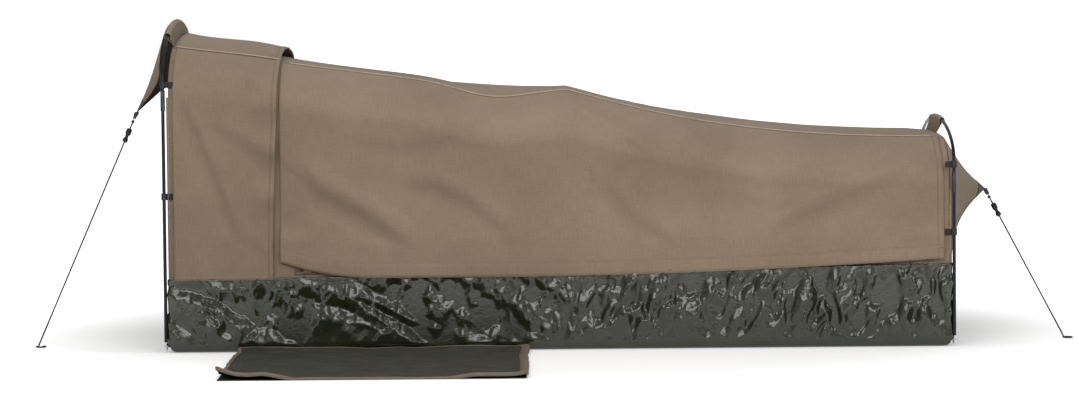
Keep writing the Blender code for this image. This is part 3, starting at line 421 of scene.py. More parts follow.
def shoulder_slope(angle):
    """Which way the shoulder faces, across and up, at an angle round its ellipse."""
    slope = np.array([math.cos(angle) / canopy_half_width, math.sin(angle) / ellipse_height])
    return slope / np.linalg.norm(slope)


def side_wall(xs, z, side, out, lift=0.0):
    """Points on one side's straight wall at the height z over each x, pushed out and lifted off it."""
    up = np.clip((z - sag_start) / (shoulder_height(xs) - sag_start), 0, 1)
    sag = side_sag * (1 - (xs / hoop_half_spacing) ** 2) * np.sin(np.pi * up)
    return np.column_stack([xs, side * (canopy_half_width - sag + out(xs, z) + lift), z])


def side_grid(xs, low, side, out, straight=34, curved=16):
    """Points up one side at each x, from the height low to the seam, pushed out by what out says."""
    rows = [side_wall(xs, low + (shoulder_height(xs) - low) * share, side, out)
            for share in np.linspace(0, 1, straight)]
    for angle in np.linspace(0, edge_angle, curved + 1)[1:]:
        z = shoulder_height(xs) + ellipse_height * math.sin(angle)
        across, up = shoulder_slope(angle)
        push = out(xs, z)
        rows.append(np.column_stack([xs, side * (canopy_half_width * math.cos(angle) + push * across),
                                     z + push * up]))
    return np.array(rows)


def line_distance(x, z, line):
    """Signed distance to a line of points, above it positive, and how far along it, from 0 to 1."""
    line = np.array(line, float)
    lengths = np.linalg.norm(np.diff(line, axis=0), axis=1)
    starts = np.concatenate([[0], lengths.cumsum()])
    best, signed, along = np.full(np.shape(x), 1e9), np.zeros(np.shape(x)), np.zeros(np.shape(x))
    for k, (a, b) in enumerate(zip(line[:-1], line[1:])):
        d = (b - a) / lengths[k]
        t = np.clip((x - a[0]) * d[0] + (z - a[1]) * d[1], 0, lengths[k])
        gap = np.hypot(x - a[0] - d[0] * t, z - a[1] - d[1] * t)
        above = (z - a[1]) * abs(d[0]) - (x - a[0]) * d[1] * np.sign(d[0] if d[0] else 1)
        near = gap < best
        best = np.where(near, gap, best)
        signed = np.where(near, np.sign(above) * gap, signed)
        along = np.where(near, (starts[k] + t) / starts[-1], along)
    return signed, along


def folds(x, z, lines):
    """Cloth pushed out and in by folds. Each has a line, a width, a depth and a kind: a ledge turns
    the cloth downwards along its line, and a crease is a thin raised line."""
    total = np.zeros(np.shape(x))
    for line, width, depth, kind in lines:
        signed, along = line_distance(x, z, line)
        q = signed / width
        shape = q * np.exp(-q * q / 2) if kind == "ledge" else np.exp(-np.abs(q))
        total = total + depth * shape * eased(along / 0.22) * eased((1 - along) / 0.22)
    return total


def rumple(x, z, seed, depth):
    """The small unevenness of slack canvas."""
    broad = soft_noise(x / 0.21, z / 0.13, seed) + 0.6 * soft_noise(x / 0.09, z / 0.11, seed + 1)
    return depth * (broad + 0.25 * soft_noise(x / 0.030, z / 0.045, seed + 2))


def line_lengths(line):
    return np.concatenate([[0], np.linalg.norm(np.diff(line, axis=0), axis=1).cumsum()])


def stitch_row(name, line, outward, body="shell"):
    """A row of thread stitches along a line of points on the cloth."""
    line = np.array(line)
    outward = np.broadcast_to(np.array(outward, float), line.shape)
    lengths = line_lengths(line)
    starts = np.arange(stitch_pitch / 2, lengths[-1] - stitch_pitch, stitch_pitch)

    def spot(at, values):
        return np.stack([np.interp(at, lengths, values[:, axis]) for axis in range(3)], 1)

    first, last, up = spot(starts, line), spot(starts + stitch_length, line), spot(starts, outward)
    up /= np.linalg.norm(up, axis=1, keepdims=True)
    beside = np.cross(last - first, up)
    beside *= thread_width / 2 / np.linalg.norm(beside, axis=1, keepdims=True)
    middle = (first + last) / 2 + up * thread_width * 0.65
    low = [first - beside * 0.7, first + beside * 0.7, last + beside * 0.7, last - beside * 0.7]
    reach = (first - last) * 0.30
    high = [middle - beside + reach, middle + beside + reach, middle + beside - reach,
            middle - beside - reach]
    corners = np.stack(low + high, 1)
    box = np.array([(0, 3, 2, 1), (4, 5, 6, 7), (0, 1, 5, 4), (1, 2, 6, 5), (2, 3, 7, 6), (3, 0, 4, 7)])
    faces = (np.arange(len(corners))[:, None, None] * 8 + box).reshape(-1, 4)
    mesh = bpy.data.meshes.new(name)
    mesh.from_pydata(corners.reshape(-1, 3).tolist(), [], faces.tolist())
    mend(mesh)
    return put_on(name, mesh, thread, body, None)


def hem_band(name, grid, facing, body="shell"):
    """A turned hem: a second layer over a strip of the cloth's own grid."""
    return sew(name, grid, canvas, hem_gauge, facing, body=body)


def raised(grid, facing, step):
    """A grid of points lifted off the side that looks along facing."""
    normal = np.cross(np.gradient(grid, axis=1), np.gradient(grid, axis=0))
    normal /= np.maximum(np.linalg.norm(normal, axis=2, keepdims=True), 1e-12)
    turned_out = (normal @ np.array(facing, float)).sum() > 0
    return grid + (normal if turned_out else -normal) * step


def tucked(z):
    """0 where a panel is tucked in the tub, 1 where it hangs free."""
    return eased((z - 0.235) / 0.05)


canvas, wire, give = new_finish("tan_canvas", "tan_canvas", Roughness=0.88, Sheen_Weight=0.12,
                                Sheen_Roughness=0.5, Specular_IOR_Level=0.25)
cloth = wire.on_cloth()
yarns = cloth.stretched((900.0, 26.0, 1.0)).noise(1.0, 2.0, 0.6)
cross_yarns = cloth.stretched((24.0, 820.0, 1.0)).noise(1.0, 2.0, 0.6)
weather = wire.places().noise(3.2, 4.0, 0.6)
shade = (yarns * 0.46 + cross_yarns * 0.36 + weather * 0.52).between(0.40, 0.94)
slubs = yarns * 0.7 + cross_yarns * 0.7
give(Base_Color=shade.mixed((0.208, 0.150, 0.101), (0.330, 0.245, 0.171)), Roughness=0.80 + weather * 0.16,
     Normal=cloth.threads("X", 5200.0, "Y", 5200.0).bump(0.00018, 0.5, Normal=slubs.bump(0.0005, 0.35)))

thread, wire, give = new_finish("sewing_thread", "tan_canvas", Roughness=0.6)
twist = (wire.places().part("X") * 9000.0 + wire.places().part("Z") * 9000.0).sine()
give(Base_Color=(twist * 0.5 + 0.5).mixed((0.190, 0.142, 0.098), (0.300, 0.232, 0.165)),
     Normal=twist.bump(0.0001, 0.5))

# Piping cloth: its colour is painted lighter than the canvas, a painted highlight for the light its raised
# edge catches, with a noise mottle across it.
highlit_piping_cloth, wire, give = new_finish("piping_painted_light", "tan_canvas", Roughness=0.8)
piping_highlight_mottle = wire.places().noise(60.0, 4.0, 0.6)
give(Base_Color=piping_highlight_mottle.mixed((0.330, 0.250, 0.178), (0.560, 0.450, 0.340)), Roughness=0.7 + piping_highlight_mottle * 0.2)

far_lines = [([(-0.98, 0.60), (-0.70, 0.46), (-0.45, 0.34)], 0.035, 0.006, "ledge"),
             ([(0.95, 0.47), (0.62, 0.38), (0.40, 0.29)], 0.032, 0.006, "ledge"),
             ([(0.05, 0.66), (0.20, 0.56), (0.36, 0.50)], 0.012, 0.0022, "crease"),
             ([(0.0, 0.66), (-0.14, 0.58), (-0.30, 0.52)], 0.012, 0.0022, "crease"),
             ([(-1.03, 0.76), (-0.88, 0.70), (-0.62, 0.62)], 0.012, 0.0020, "crease"),
             ([(-0.30, 0.44), (-0.05, 0.40), (0.15, 0.30)], 0.040, 0.005, "ledge")]


def far_field(x, z):
    edge = eased((x - canopy_head_x) / 0.05) * eased((canopy_foot_x - x) / 0.05)
    seam = eased((seam_height(x) - z) / 0.03)
    return (folds(x, z, far_lines) + rumple(x, z, 21, 0.0022) + 0.002) * edge * seam * tucked(z)


def fixed_field(x, z):
    return (rumple(x, z, 25, 0.0008) - 0.0006) * tucked(z) * eased((seam_height(x) - z) / 0.03)


def sew_side(name, node, start_x, end_x, count, side, out):
    grid = side_grid(np.linspace(start_x, end_x, count), panel_tuck, side, out)
    return sew(name, grid, canvas, canvas_cloth, (0, side, 0), node)


far_side = sew_side("far_side", "far_side_panel", canopy_head_x, canopy_foot_x, 190, FAR, far_field)
near_head = sew_side("near_head_side", "near_head_panel", canopy_head_x, doorway_head_x, 36, NEAR,
                     fixed_field)
near_foot = sew_side("near_foot_side", "near_foot_panel", doorway_foot_x, canopy_foot_x, 14, NEAR,
                     fixed_field)

sill_x, sill_z = np.meshgrid(np.linspace(doorway_head_x + seam_gap, doorway_foot_x - seam_gap, 120),
                             np.linspace(panel_tuck, sill_top, 12))
sill = sew("sill_band", np.stack([sill_x, -canopy_half_width - fixed_field(sill_x, sill_z), sill_z], -1),
           canvas, canvas_cloth, (0, NEAR, 0), "near_sill_band")

# Roof: one strip between the two seams. Long shallow creases follow its pull from hoop to hoop, and
# short ones fan out over the inner hoop. Two rows of stitches run down each seam.
roof_lines = [([(-0.02, -0.16), (-0.25, -0.24)], 0.012, 0.0018, "crease"),
              ([(-0.02, 0.10), (-0.30, 0.20)], 0.012, 0.0018, "crease"),
              ([(0.05, -0.12), (0.32, -0.20)], 0.012, 0.0018, "crease"),
              ([(0.06, 0.04), (0.40, 0.12)], 0.012, 0.0018, "crease")]
seam_rows = (0.2800, 0.2865)
seam_stitch_head_x, seam_stitch_end = -0.735, 0.010


def roof_skin(x, y):
    """The height of the roof's face, with its creases."""
    edge = eased((x - canopy_head_x) / 0.04) * eased((canopy_foot_x - x) / 0.04)
    seam = eased((seam_half_width - np.abs(y)) / 0.03)
    pull = 0.0012 * soft_noise(x / 0.5, y / 0.035, 31) + 0.0012 * soft_noise(x / 0.16, y / 0.10, 32)
    return roof_height(x, y) + (pull + folds(x, y, roof_lines)) * edge * seam


roof_x, roof_y = np.meshgrid(np.linspace(canopy_head_x, canopy_foot_x, 240),
                             np.linspace(-seam_half_width, seam_half_width, 49))
roof = sew("roof", np.stack([roof_x, roof_y, roof_skin(roof_x, roof_y)], -1), canvas, canvas_cloth,
           (0, 0, 1), "roof_panel")
seam_x = np.linspace(seam_stitch_head_x, canopy_foot_x - seam_stitch_end, 200)
for side_name, side in both_sides:
    for number, row_y in enumerate(seam_rows, 1):
        row_at = np.full(len(seam_x), side * row_y)
        stitch_row(f"roof_seam_{side_name}_{number}",
                   np.column_stack([seam_x, row_at, roof_skin(seam_x, row_at)]), (0, 0, 1))

# Door: the near side's own canvas panel, sewn along the seam and zipped at the bottom. Two cloths
# join at a slanting seam towards the foot, the hem is folded up, and slack gathers into soft folds.
door_head_x, door_foot_x, door_hem_height, door_hem_width = -0.762, 1.050, 0.202, 0.037
hem_level_head_x, hem_level_foot_x, hem_head_rise, hem_foot_rise = -0.500, -0.200, 0.046, 0.041
seam_piping_radius = 0.0019
door_folds = [
    ([(-0.880, 0.580), (-0.765, 0.515), (-0.692, 0.462), (-0.624, 0.421), (-0.557, 0.386), (-0.489, 0.345),
      (-0.429, 0.296), (-0.380, 0.255)], 0.028, 0.0165, "ledge"),
    ([(-0.470, 0.462), (-0.338, 0.451), (-0.270, 0.421), (-0.211, 0.379), (-0.156, 0.330),
      (-0.143, 0.255)], 0.024, 0.0085, "ledge"),
    ([(-0.620, 0.590), (-0.528, 0.578), (-0.441, 0.550), (-0.364, 0.566), (-0.290, 0.584),
      (-0.220, 0.592)], 0.020, 0.0034, "ledge"),
    ([(0.120, 0.470), (0.158, 0.417), (0.193, 0.368), (0.233, 0.340), (0.274, 0.307),
      (0.330, 0.268)], 0.024, 0.0085, "ledge"),
    ([(1.052, 0.530), (0.984, 0.491), (0.916, 0.465), (0.847, 0.443), (0.779, 0.411),
      (0.697, 0.377), (0.620, 0.345), (0.579, 0.310), (0.540, 0.262)], 0.022, 0.0100, "ledge"),
    ([(1.040, 0.566), (0.848, 0.533), (0.712, 0.507), (0.600, 0.465)], 0.026, 0.0034, "ledge"),
    ([(1.046, 0.475), (0.983, 0.415), (0.942, 0.375), (0.890, 0.318)], 0.014, 0.0028, "ledge"),
    ([(1.046, 0.440), (1.000, 0.390), (0.970, 0.330), (0.955, 0.290)], 0.012, 0.0022, "ledge"),
    ([(0.490, 0.415), (0.588, 0.386), (0.680, 0.405)], 0.016, 0.0024, "ledge"),
    ([(0.075, 0.520), (0.090, 0.490), (0.102, 0.430)], 0.012, 0.0020, "ledge"),
    ([(0.028, 0.716), (0.059, 0.693), (0.100, 0.668), (0.154, 0.643), (0.200, 0.626),
      (0.340, 0.600)], 0.011, 0.0050, "ledge"),
    ([(0.036, 0.716), (0.051, 0.690), (0.073, 0.649), (0.105, 0.622), (0.146, 0.594),
      (0.186, 0.572), (0.262, 0.534)], 0.011, 0.0054, "ledge"),
    ([(0.457, 0.640), (0.453, 0.556), (0.441, 0.461), (0.430, 0.406), (0.427, 0.338),
      (0.423, 0.245)], 0.0045, 0.0024, "crease"),
]
joint_line = door_folds[-1][0]


def door_hem(x):
    to_foot = np.clip((x - hem_level_foot_x) / (door_foot_x - hem_level_foot_x), 0, 1)
    to_head = np.clip((hem_level_head_x - x) / (hem_level_head_x - door_head_x), 0, 1)
    return door_hem_height + hem_foot_rise * to_foot ** 2 + hem_head_rise * to_head ** 2


def over_doorway(x, reach):
    return eased((x - doorway_head_x) / reach) * eased((doorway_foot_x - x) / reach)


def door_out(x, z):
    """The door hangs clear of the zip at its hem, and lies on the canvas above it with its folds."""
    inside = over_doorway(x, 0.060)
    stand = 0.0035 + 0.0082 * (1 - eased((z - sill_top + 0.030 * inside) / (0.040 + 0.110 * inside)))
    edge = over_doorway(x, 0.040)
    above_sill = eased((z - sill_top + 0.02) / 0.035)
    slack = folds(x, z, door_folds) + rumple(x, z, 41, 0.0017)
    inward = np.minimum(slack, 0) * edge * above_sill
    outward = np.maximum(slack, 0) * (0.35 + 0.65 * edge)
    hem_wave = 0.0026 * (1 + soft_noise(x / 0.11, z / 0.3, 44)) * (1 - eased((z - 0.235) / 0.06))
    under_seam = seam_height(x) - z
    dimple = -0.012 * np.exp(-((x + 0.185) / 0.10) ** 2 - ((under_seam - 0.012) / 0.016) ** 2)
    return stand + (inward + outward + hem_wave + dimple * above_sill) * eased(under_seam / 0.012)


door_x = np.linspace(door_head_x, door_foot_x, 330)
door_grid = side_grid(door_x, door_hem(door_x), NEAR, door_out, 62, 26)
door = sew("door", door_grid, canvas, canvas_cloth, (0, NEAR, 0), "door_panel", "door")


def up_hem(up):
    return side_wall(door_x, door_hem(door_x) + up, NEAR, door_out, hem_step)


door_bands = [hem_band("door_hem_band", [up_hem(up) for up in (-0.0004, 0.009, 0.018, 0.028, door_hem_width)],
                       (0, NEAR, 0), "door")]
for number, up in enumerate((door_hem_width - 0.0025, 0.004), 1):
    door_bands.append(stitch_row(f"door_hem_stitching_{number}", up_hem(up), (0, NEAR, 0), "door"))
door_raised = raised(door_grid, (0, NEAR, 0), hem_step)
door_bands.append(hem_band("door_foot_band", door_raised[:, -4:], (0, NEAR, 0), "door"))
for number, column in enumerate((-4, -2), 1):
    row_line = door_raised[:, column] * 0.7 + door_raised[:, column + 1] * 0.3
    door_bands.append(stitch_row(f"door_foot_stitching_{number}", row_line, (0, NEAR, 0.2), "door"))
slant_z = np.linspace(0.290, 0.600, 80)
joint_x, joint_z = zip(*reversed(joint_line))
slant_x = np.interp(slant_z, joint_z, joint_x)
slant = slant_z < shoulder_height(slant_x)
for number, aside in enumerate((-0.0045, 0.0045), 1):
    row_line = side_wall(slant_x[slant] + aside, slant_z[slant], NEAR, door_out, 0.0001)
    door_bands.append(stitch_row(f"door_joint_stitching_{number}", row_line, (0, NEAR, 0), "door"))
bar("door_seam_piping", door_grid[-1, 4:-4] + [0, -0.0010, 0.0012], seam_piping_radius, highlit_piping_cloth,
    body="door", round_steps=2)

# Head cover: a second canvas over the head end. Its top is sewn down over the roof, and a flap hangs
# loose on each side with a turned hem; the near one bellies away from the door along its foot edge.
cover_head_x, cover_foot_x, cover_hem = -1.052, -0.766, 0.198
cover_head_lift, cover_foot_lift, flap_stand, flap_lean = 0.0037, 0.0185, 0.0030, 0.016
flap_folds = [
    ([(-1.046, 0.735), (-0.999, 0.623), (-0.958, 0.541), (-0.918, 0.446), (-0.884, 0.358),
      (-0.850, 0.285)], 0.016, 0.0085, "ledge"),
    ([(-0.960, 0.640), (-0.925, 0.612), (-0.868, 0.581), (-0.760, 0.515)], 0.022, 0.0065, "ledge"),
    ([(-1.046, 0.862), (-0.989, 0.809), (-0.948, 0.781), (-0.867, 0.739), (-0.780, 0.690)],
     0.011, 0.0040, "ledge"),
    ([(-1.050, 0.812), (-0.989, 0.760), (-0.935, 0.713), (-0.890, 0.690)], 0.010, 0.0032, "ledge"),
    ([(-1.030, 0.860), (-0.980, 0.846), (-0.900, 0.826), (-0.830, 0.800)], 0.009, 0.0016, "crease"),
    ([(-0.850, 0.330), (-0.810, 0.290), (-0.780, 0.260)], 0.016, 0.0030, "ledge"),
]


def cover_share(x):
    """0 at the cover's head edge, 1 at its foot edge."""
    return (x - cover_head_x) / (cover_foot_x - cover_head_x)


def cover_lift(x):
    bellied = 0.0125 * np.exp(-((x + 0.850) / 0.120) ** 2)
    return bellied + cover_head_lift + (cover_foot_lift - cover_head_lift) * cover_share(x)


def cover_edge_lift(x):
    return np.maximum(0.0022, 0.36 * cover_lift(x))


def cover_height(x, y):
    crown = (cover_lift(x) - cover_edge_lift(x)) * (1 - (y / seam_half_width) ** 2)
    wave = 0.0016 * (1 + soft_noise(x / 0.12, y / 0.07, 53)) * eased((seam_half_width - np.abs(y)) / 0.02)
    return roof_height(x, y) + cover_edge_lift(x) + crown + wave


def flap_out(x, z, seed, depth, free_width, belly):
    up = eased((z - sill_top) / (seam_height(x) - sill_top))
    stand = flap_stand + 0.003 * (1 - up) + (cover_edge_lift(x) - flap_stand) * up
    slack = np.maximum(folds(x, z, flap_folds) + rumple(x, z, seed, depth) + 0.0035, 0)
    free_edge = eased((x - cover_foot_x + free_width) / free_width)
    return stand + (slack + free_edge * belly(z)) * eased((seam_height(x) - z) / 0.05)


def near_flap_out(x, z):
    return flap_out(x, z, 51, 0.0016, 0.10, lambda z: (
        0.0075 * (1 + np.sin(z * 46.0 + 0.9)) * eased((z - 0.33) / 0.1) + 0.0045))


def far_flap_out(x, z):
    return flap_out(x, z, 57, 0.0020, 0.12, lambda z: 0.006 * (1 + np.sin(z * 31.0)))


cover_x, cover_y = np.meshgrid(np.linspace(cover_head_x, cover_foot_x, 44),
                               np.linspace(-seam_half_width, seam_half_width, 41))
spread = 1 + 0.30 * cover_edge_lift(cover_x) / seam_half_width
cover_grid = np.stack([cover_x, cover_y * spread, cover_height(cover_x, cover_y)], -1)
cover = sew("head_cover", cover_grid, canvas, canvas_cloth, (0, 0, 1), "head_cover_roof")
skin = raised(cover_grid, (0, 0, 1), hem_step)
cover_bands = [hem_band("cover_foot_band", skin[:, -3:], (0, 0, 1)),
               stitch_row("cover_foot_stitching", skin[:, -3] * 0.8 + skin[:, -2] * 0.2, (0, 0, 1))]
for (side_name, side), edge, row_at in zip(both_sides, (0, -1), (2, -3)):
    cover_bands.append(bar(f"cover_piping_{side_name}", cover_grid[edge] + [0, side * 0.0026, 0.0012],
                           seam_piping_radius, highlit_piping_cloth, round_steps=2))
    cover_bands.append(stitch_row(f"cover_seam_{side_name}", cover_grid[row_at], (0, 0, 1)))

for (side_name, side), out in zip(both_sides, (near_flap_out, far_flap_out)):
    flap_grid = side_grid(cover_x[0], cover_hem, side, out, 66, 22)
    lower = eased((seam_height(cover_x[0])[None, :] - flap_grid[:, :, 2]) / 0.55)
    flap_grid[:, :, 0] -= flap_lean * lower * cover_share(flap_grid[:, :, 0])
    flap_name = f"{side_name}_flap"
    flap = sew(flap_name, flap_grid, canvas, canvas_cloth, (0, side, 0), f"head_flap_{side_name}", flap_name)
    skin = raised(flap_grid, (0, side, 0), hem_step)
    bands = [hem_band(f"{flap_name}_foot_band", skin[:, -3:], (0, side, 0), flap_name),
             hem_band(f"{flap_name}_hem_band", skin[:3, :-2], (0, side, 0), flap_name)]
    for label, line in (("foot", skin[:, -3] * 0.8 + skin[:, -2] * 0.2),
                        ("edge", skin[:, -1] * 0.7 + skin[:, -2] * 0.3),
                        ("hem", skin[2] * 0.8 + skin[1] * 0.2)):
        bands.append(stitch_row(f"{flap_name}_{label}_stitching", line, (0, side, 0.2), flap_name))

# End walls: canvas inside each hoop, with a window of fine insect mesh. Tape binds the opening, and
# the wall is sewn to the sides and the roof all round.
both_ends = (("head", -1), ("foot", 1))
end_x = {"head": canopy_head_x, "foot": canopy_foot_x}
window_z = {"head": 0.630, "foot": 0.400}
window_half_width, window_half_height, window_lap = 0.135, 0.080, 0.010
wall_inset, wall_slack = 0.0042, 0.0020
net_gauge, net_depth, net_hollow = 0.0004, 0.0030, 0.0004
binding_section = ((-0.002, -0.0004), (-0.002, 0.0012), (0.011, 0.0012), (0.011, -0.0004))

webbing, wire, give = new_finish("black_webbing", "black_webbing", Roughness=0.75, Sheen_Weight=0.2)
dust = wire.places().noise(60.0, 3.0)
give(Base_Color=dust.mixed((0.010, 0.010, 0.011), (0.026, 0.026, 0.027)), Roughness=0.66 + dust * 0.2,
     Normal=wire.on_cloth().threads("X", 3900.0, "Y", 2600.0).bump(0.0004, 0.7))


def net_bars(cloth):
    """The mesh's threads both ways, high along the middle of each."""
    return cloth.maths("MAXIMUM", (cloth.part("X") * 4200.0).sine(), (cloth.part("Y") * 4200.0).sine())


net_cloth, wire, give = new_finish("insect_mesh", "insect_mesh", Roughness=0.7,
                                   Base_Color=(0.012, 0.012, 0.012, 1.0))
bars = net_bars(wire.on_cloth())
give(Alpha=0.62 + 0.38 * bars.between(0.1, 0.6), Normal=bars.bump(0.0003, 0.5))


def mirrored(half):
    """The other half of an outline, from a half that ends in the middle."""
    return [(-y, z) for y, z in reversed(half[:-1])]


def wall_outline(x):
    shoulder = float(shoulder_height(x))
    half = [(canopy_half_width - wall_inset, z) for z in np.linspace(panel_tuck, shoulder, 14)[:-1]]
    for angle in np.linspace(0, edge_angle, 12):
        across, up = shoulder_slope(angle)
        half.append((canopy_half_width * math.cos(angle) - wall_inset * across,
                     shoulder + ellipse_height * math.sin(angle) - wall_inset * up))
    half += [(y, float(roof_height(x, y)) - wall_inset) for y in np.linspace(seam_half_width, 0, 11)[1:]]
    bottom = [(y, panel_tuck) for y in np.linspace(-half[0][0], half[0][0], 22)[1:-1]]
    return np.array(half + mirrored(half) + bottom)


def window_line(outline, centre, grow=0.0):
    angle = np.arctan2(outline[:, 1] - centre, outline[:, 0])
    across = np.abs(np.cos(angle)) / (window_half_width + grow)
    up = np.abs(np.sin(angle)) / (window_half_height + grow)
    reach = (across ** 4 + up ** 4) ** -0.25
    return np.column_stack([reach * np.cos(angle), centre + reach * np.sin(angle)])


def make_end(label, out):
    x, centre = end_x[label], window_z[label]
    outline = wall_outline(x)
    window, net_edge = window_line(outline, centre), window_line(outline, centre, window_lap)

    def standing(line, lift):
        return np.column_stack([x + out * lift + 0 * line[:, 0], line])

    rings = []
    for share in np.linspace(0, 1, 14):
        ring = window + (outline - window) * share
        slack = wall_slack * (1 + soft_noise(ring[:, 0] / 0.14, ring[:, 1] / 0.10, 71))
        rings.append(standing(ring, -slack * math.sin(math.pi * share)))
    wall = sew(f"{label}_end_wall", rings, canvas, canvas_cloth, (out, 0, 0), f"{label}_wall", ring=True)
    float(shoulder_height(x)) + shoulder_rise - panel_tuck
    rings = [standing(window_line(outline, centre, grow), lift) for grow, lift in binding_section]
    sew(f"{label}_window_binding", rings, webbing, 0, (out, 0, 0), ring=True)
    rings = [standing([0, centre] + (net_edge - [0, centre]) * share, -net_depth - net_hollow * (1 - share))
             for share in np.linspace(0.04, 1, 9)]
    net = sew(f"{label}_window_net", rings, net_cloth, net_gauge, (out, 0, 0), f"{label}_window_mesh",
              ring=True)


for label, out in both_ends:
    make_end(label, out)

# Corner seams: the end walls and the sides meet in a piped seam from the tub to the shoulder. The
# piping is a cord wrapped in the canvas, sewn in with the seam.
corner_piping, piping_out, piping_in = 0.0026, 0.0028, 0.0016
for label, out in both_ends:
    x = end_x[label]
    heights = np.linspace(float(rim_height(x)) + 0.001, float(shoulder_height(x)) - 0.01, 30)
    for side_name, side in both_sides:
        piping_x, piping_y = x + out * piping_out, side * (canopy_half_width - piping_in)
        bar(f"{label}_corner_piping_{side_name}", [(piping_x, piping_y, z) for z in heights], corner_piping,
            canvas, round_steps=2)

# Hoops: anodised aluminium poles. Each has two straight legs, joined by ferrules to an arch bent over
# the canopy; the inner hoop is a thinner pole inside the canvas.
hoop_x = {"head": -hoop_half_spacing, "foot": hoop_half_spacing}
leg_joint = {"head": 0.690, "foot": 0.450}
arch_start = {"head": 0.745, "foot": 0.508}
arch_rise = {"head": 0.155, "foot": 0.104}
pole_radius, pole_wall, leg_half_width, leg_foot_height = 0.00475, 0.0011, 0.450, 0.030
ferrule_radius, ferrule_length, ferrule_play, ferrule_bead = 0.00625, 0.056, 0.00015, 0.0004

anodised, wire, give = new_finish("dark_pole", "dark_pole", Metallic=0.85, Specular_IOR_Level=0.5)
rubbed = wire.places().stretched((1.0, 1.0, 0.05)).noise(900.0, 2.0)
handled = wire.places().noise(30.0, 4.0, 0.65)
give(Base_Color=(rubbed * 0.4 + handled * 0.6).mixed((0.008, 0.009, 0.012), (0.030, 0.035, 0.046)),
     Roughness=0.22 + handled * 0.22, Normal=rubbed.bump(0.0001, 0.3))

gunmetal, wire, give = new_finish("dark_ferrule", "dark_ferrule", Metallic=1.0)
turning = wire.places().stretched((1.0, 1.0, 40.0)).noise(70.0, 2.0)
give(Base_Color=turning.mixed((0.035, 0.038, 0.046), (0.080, 0.086, 0.100)), Roughness=0.24 + turning * 0.2,
     Normal=turning.bump(0.0001, 0.4))


def turned(name, profile, base, axis, finish, node, body="shell", sides=32):
    """A turned part: a closed profile of (radius, distance along the axis) spun about the axis."""
    axis = Vector(axis).normalized()
    across = axis.orthogonal().normalized()
    up = np.array(axis.cross(across))
    base, axis, across = np.array(base, float), np.array(axis), np.array(across)
    turn = np.linspace(0, 2 * math.pi, sides, endpoint=False)
    round_it = np.cos(turn)[:, None] * across + np.sin(turn)[:, None] * up
    rings = [base + axis * along + round_it * radius for radius, along in profile + profile[:1]]

    def outward(at):
        return at - base - ((at - base) @ axis)[:, None] * axis

    piece = sew(name, rings, finish, 0, outward, node, body, ring=True)
    mend(piece.data, join=1e-6)
    piece.data.set_sharp_from_angle(angle=math.radians(35))
    return piece


def arch_line(label):
    x, low, start = hoop_x[label], leg_joint[label] + 0.0003, arch_start[label]
    line = [(x, -leg_half_width, z) for z in np.linspace(low, start, 6)[:-1]]
    line += [(x, -leg_half_width * math.cos(a), start + arch_rise[label] * math.sin(a))
             for a in np.linspace(0, math.pi, 72)]
    return line + [(x, leg_half_width, z) for z in np.linspace(start, low, 6)[1:]]


for label, joint in leg_joint.items():
    low, high = joint - ferrule_length / 2, joint + ferrule_length / 2
    leg_profile = [(pole_radius - pole_wall, leg_foot_height), (pole_radius - 0.0003, leg_foot_height),
                   (pole_radius, leg_foot_height + 0.0004), (pole_radius, joint - 0.0008),
                   (pole_radius - 0.0004, joint - 0.0003), (pole_radius - pole_wall, joint - 0.0003)]
    ferrule_profile = [(pole_radius + ferrule_play, low), (ferrule_radius - 0.0002, low),
                       (ferrule_radius + ferrule_bead, low + 0.0010), (ferrule_radius, low + 0.0026),
                       (ferrule_radius, high - 0.0026), (ferrule_radius + ferrule_bead, high - 0.0010),
                       (ferrule_radius - 0.0002, high), (pole_radius + ferrule_play, high)]
    bar(f"{label}_arch_pole", arch_line(label), pole_radius, anodised, f"{label}_arch", round_steps=5)
    for side_name, side in both_sides:
        foot = (hoop_x[label], side * leg_half_width, 0.0)
        turned(f"{label}_leg_pole_{side_name}", leg_profile, foot, (0, 0, 1), anodised,
               f"{label}_leg_{side_name}")
        turned(f"{label}_ferrule_sleeve_{side_name}", ferrule_profile, foot, (0, 0, 1), gunmetal,
               f"{label}_ferrule_{side_name}")

cad["mid_hoop"].material_slots[0].material = anodised

# Pole sleeves: canvas pockets round the arches, sewn by their tails to the ends of the roof and
# gathered a little along their length
sleeve_radius, sleeve_cloth, sleeve_tail, sleeve_mouth = 0.0082, 0.0012, 0.0055, 0.42


def over_canopy(x, y):
    if abs(y) <= seam_half_width:
        return roof_height(x, y)
    return shoulder_height(x) + ellipse_height * math.sqrt(max(0.0, 1 - (y / canopy_half_width) ** 2))


def make_sleeve(label, out, half_width, stations):
    x, start, tail_x = hoop_x[label], arch_start[label], end_x[label] - out * sleeve_tail
    loops = []
    for y in np.linspace(-half_width, half_width, stations):
        centre = np.array([x, y, start + arch_rise[label] * math.sqrt(1 - (y / leg_half_width) ** 2)])
        tail = np.array([tail_x, y, float(over_canopy(tail_x, y)) + sleeve_cloth])
        down = (tail - centre) / np.linalg.norm(tail - centre)
        side = np.array([down[2], 0.0, -down[0]])
        side /= np.linalg.norm(side)
        radius = sleeve_radius * (1 + 0.07 * math.sin(y * 190) + 0.05 * math.sin(y * 83 + 1))
        loop = [centre + (down * math.cos(angle) - side * math.sin(angle)) * radius
                for angle in np.linspace(sleeve_mouth, 2 * math.pi - sleeve_mouth, 21)]
        loops.append([tail - side * 0.0010, *loop, tail + side * 0.0010])
    return sew(f"{label}_pole_sleeve", loops, canvas, sleeve_cloth,
               lambda at: (at - [x, 0, start]) * [0.2, 1, 1], f"{label}_sleeve")


head_sleeve = make_sleeve("head", -1, 0.290, 90)
foot_sleeve = make_sleeve("foot", 1, 0.140, 40)

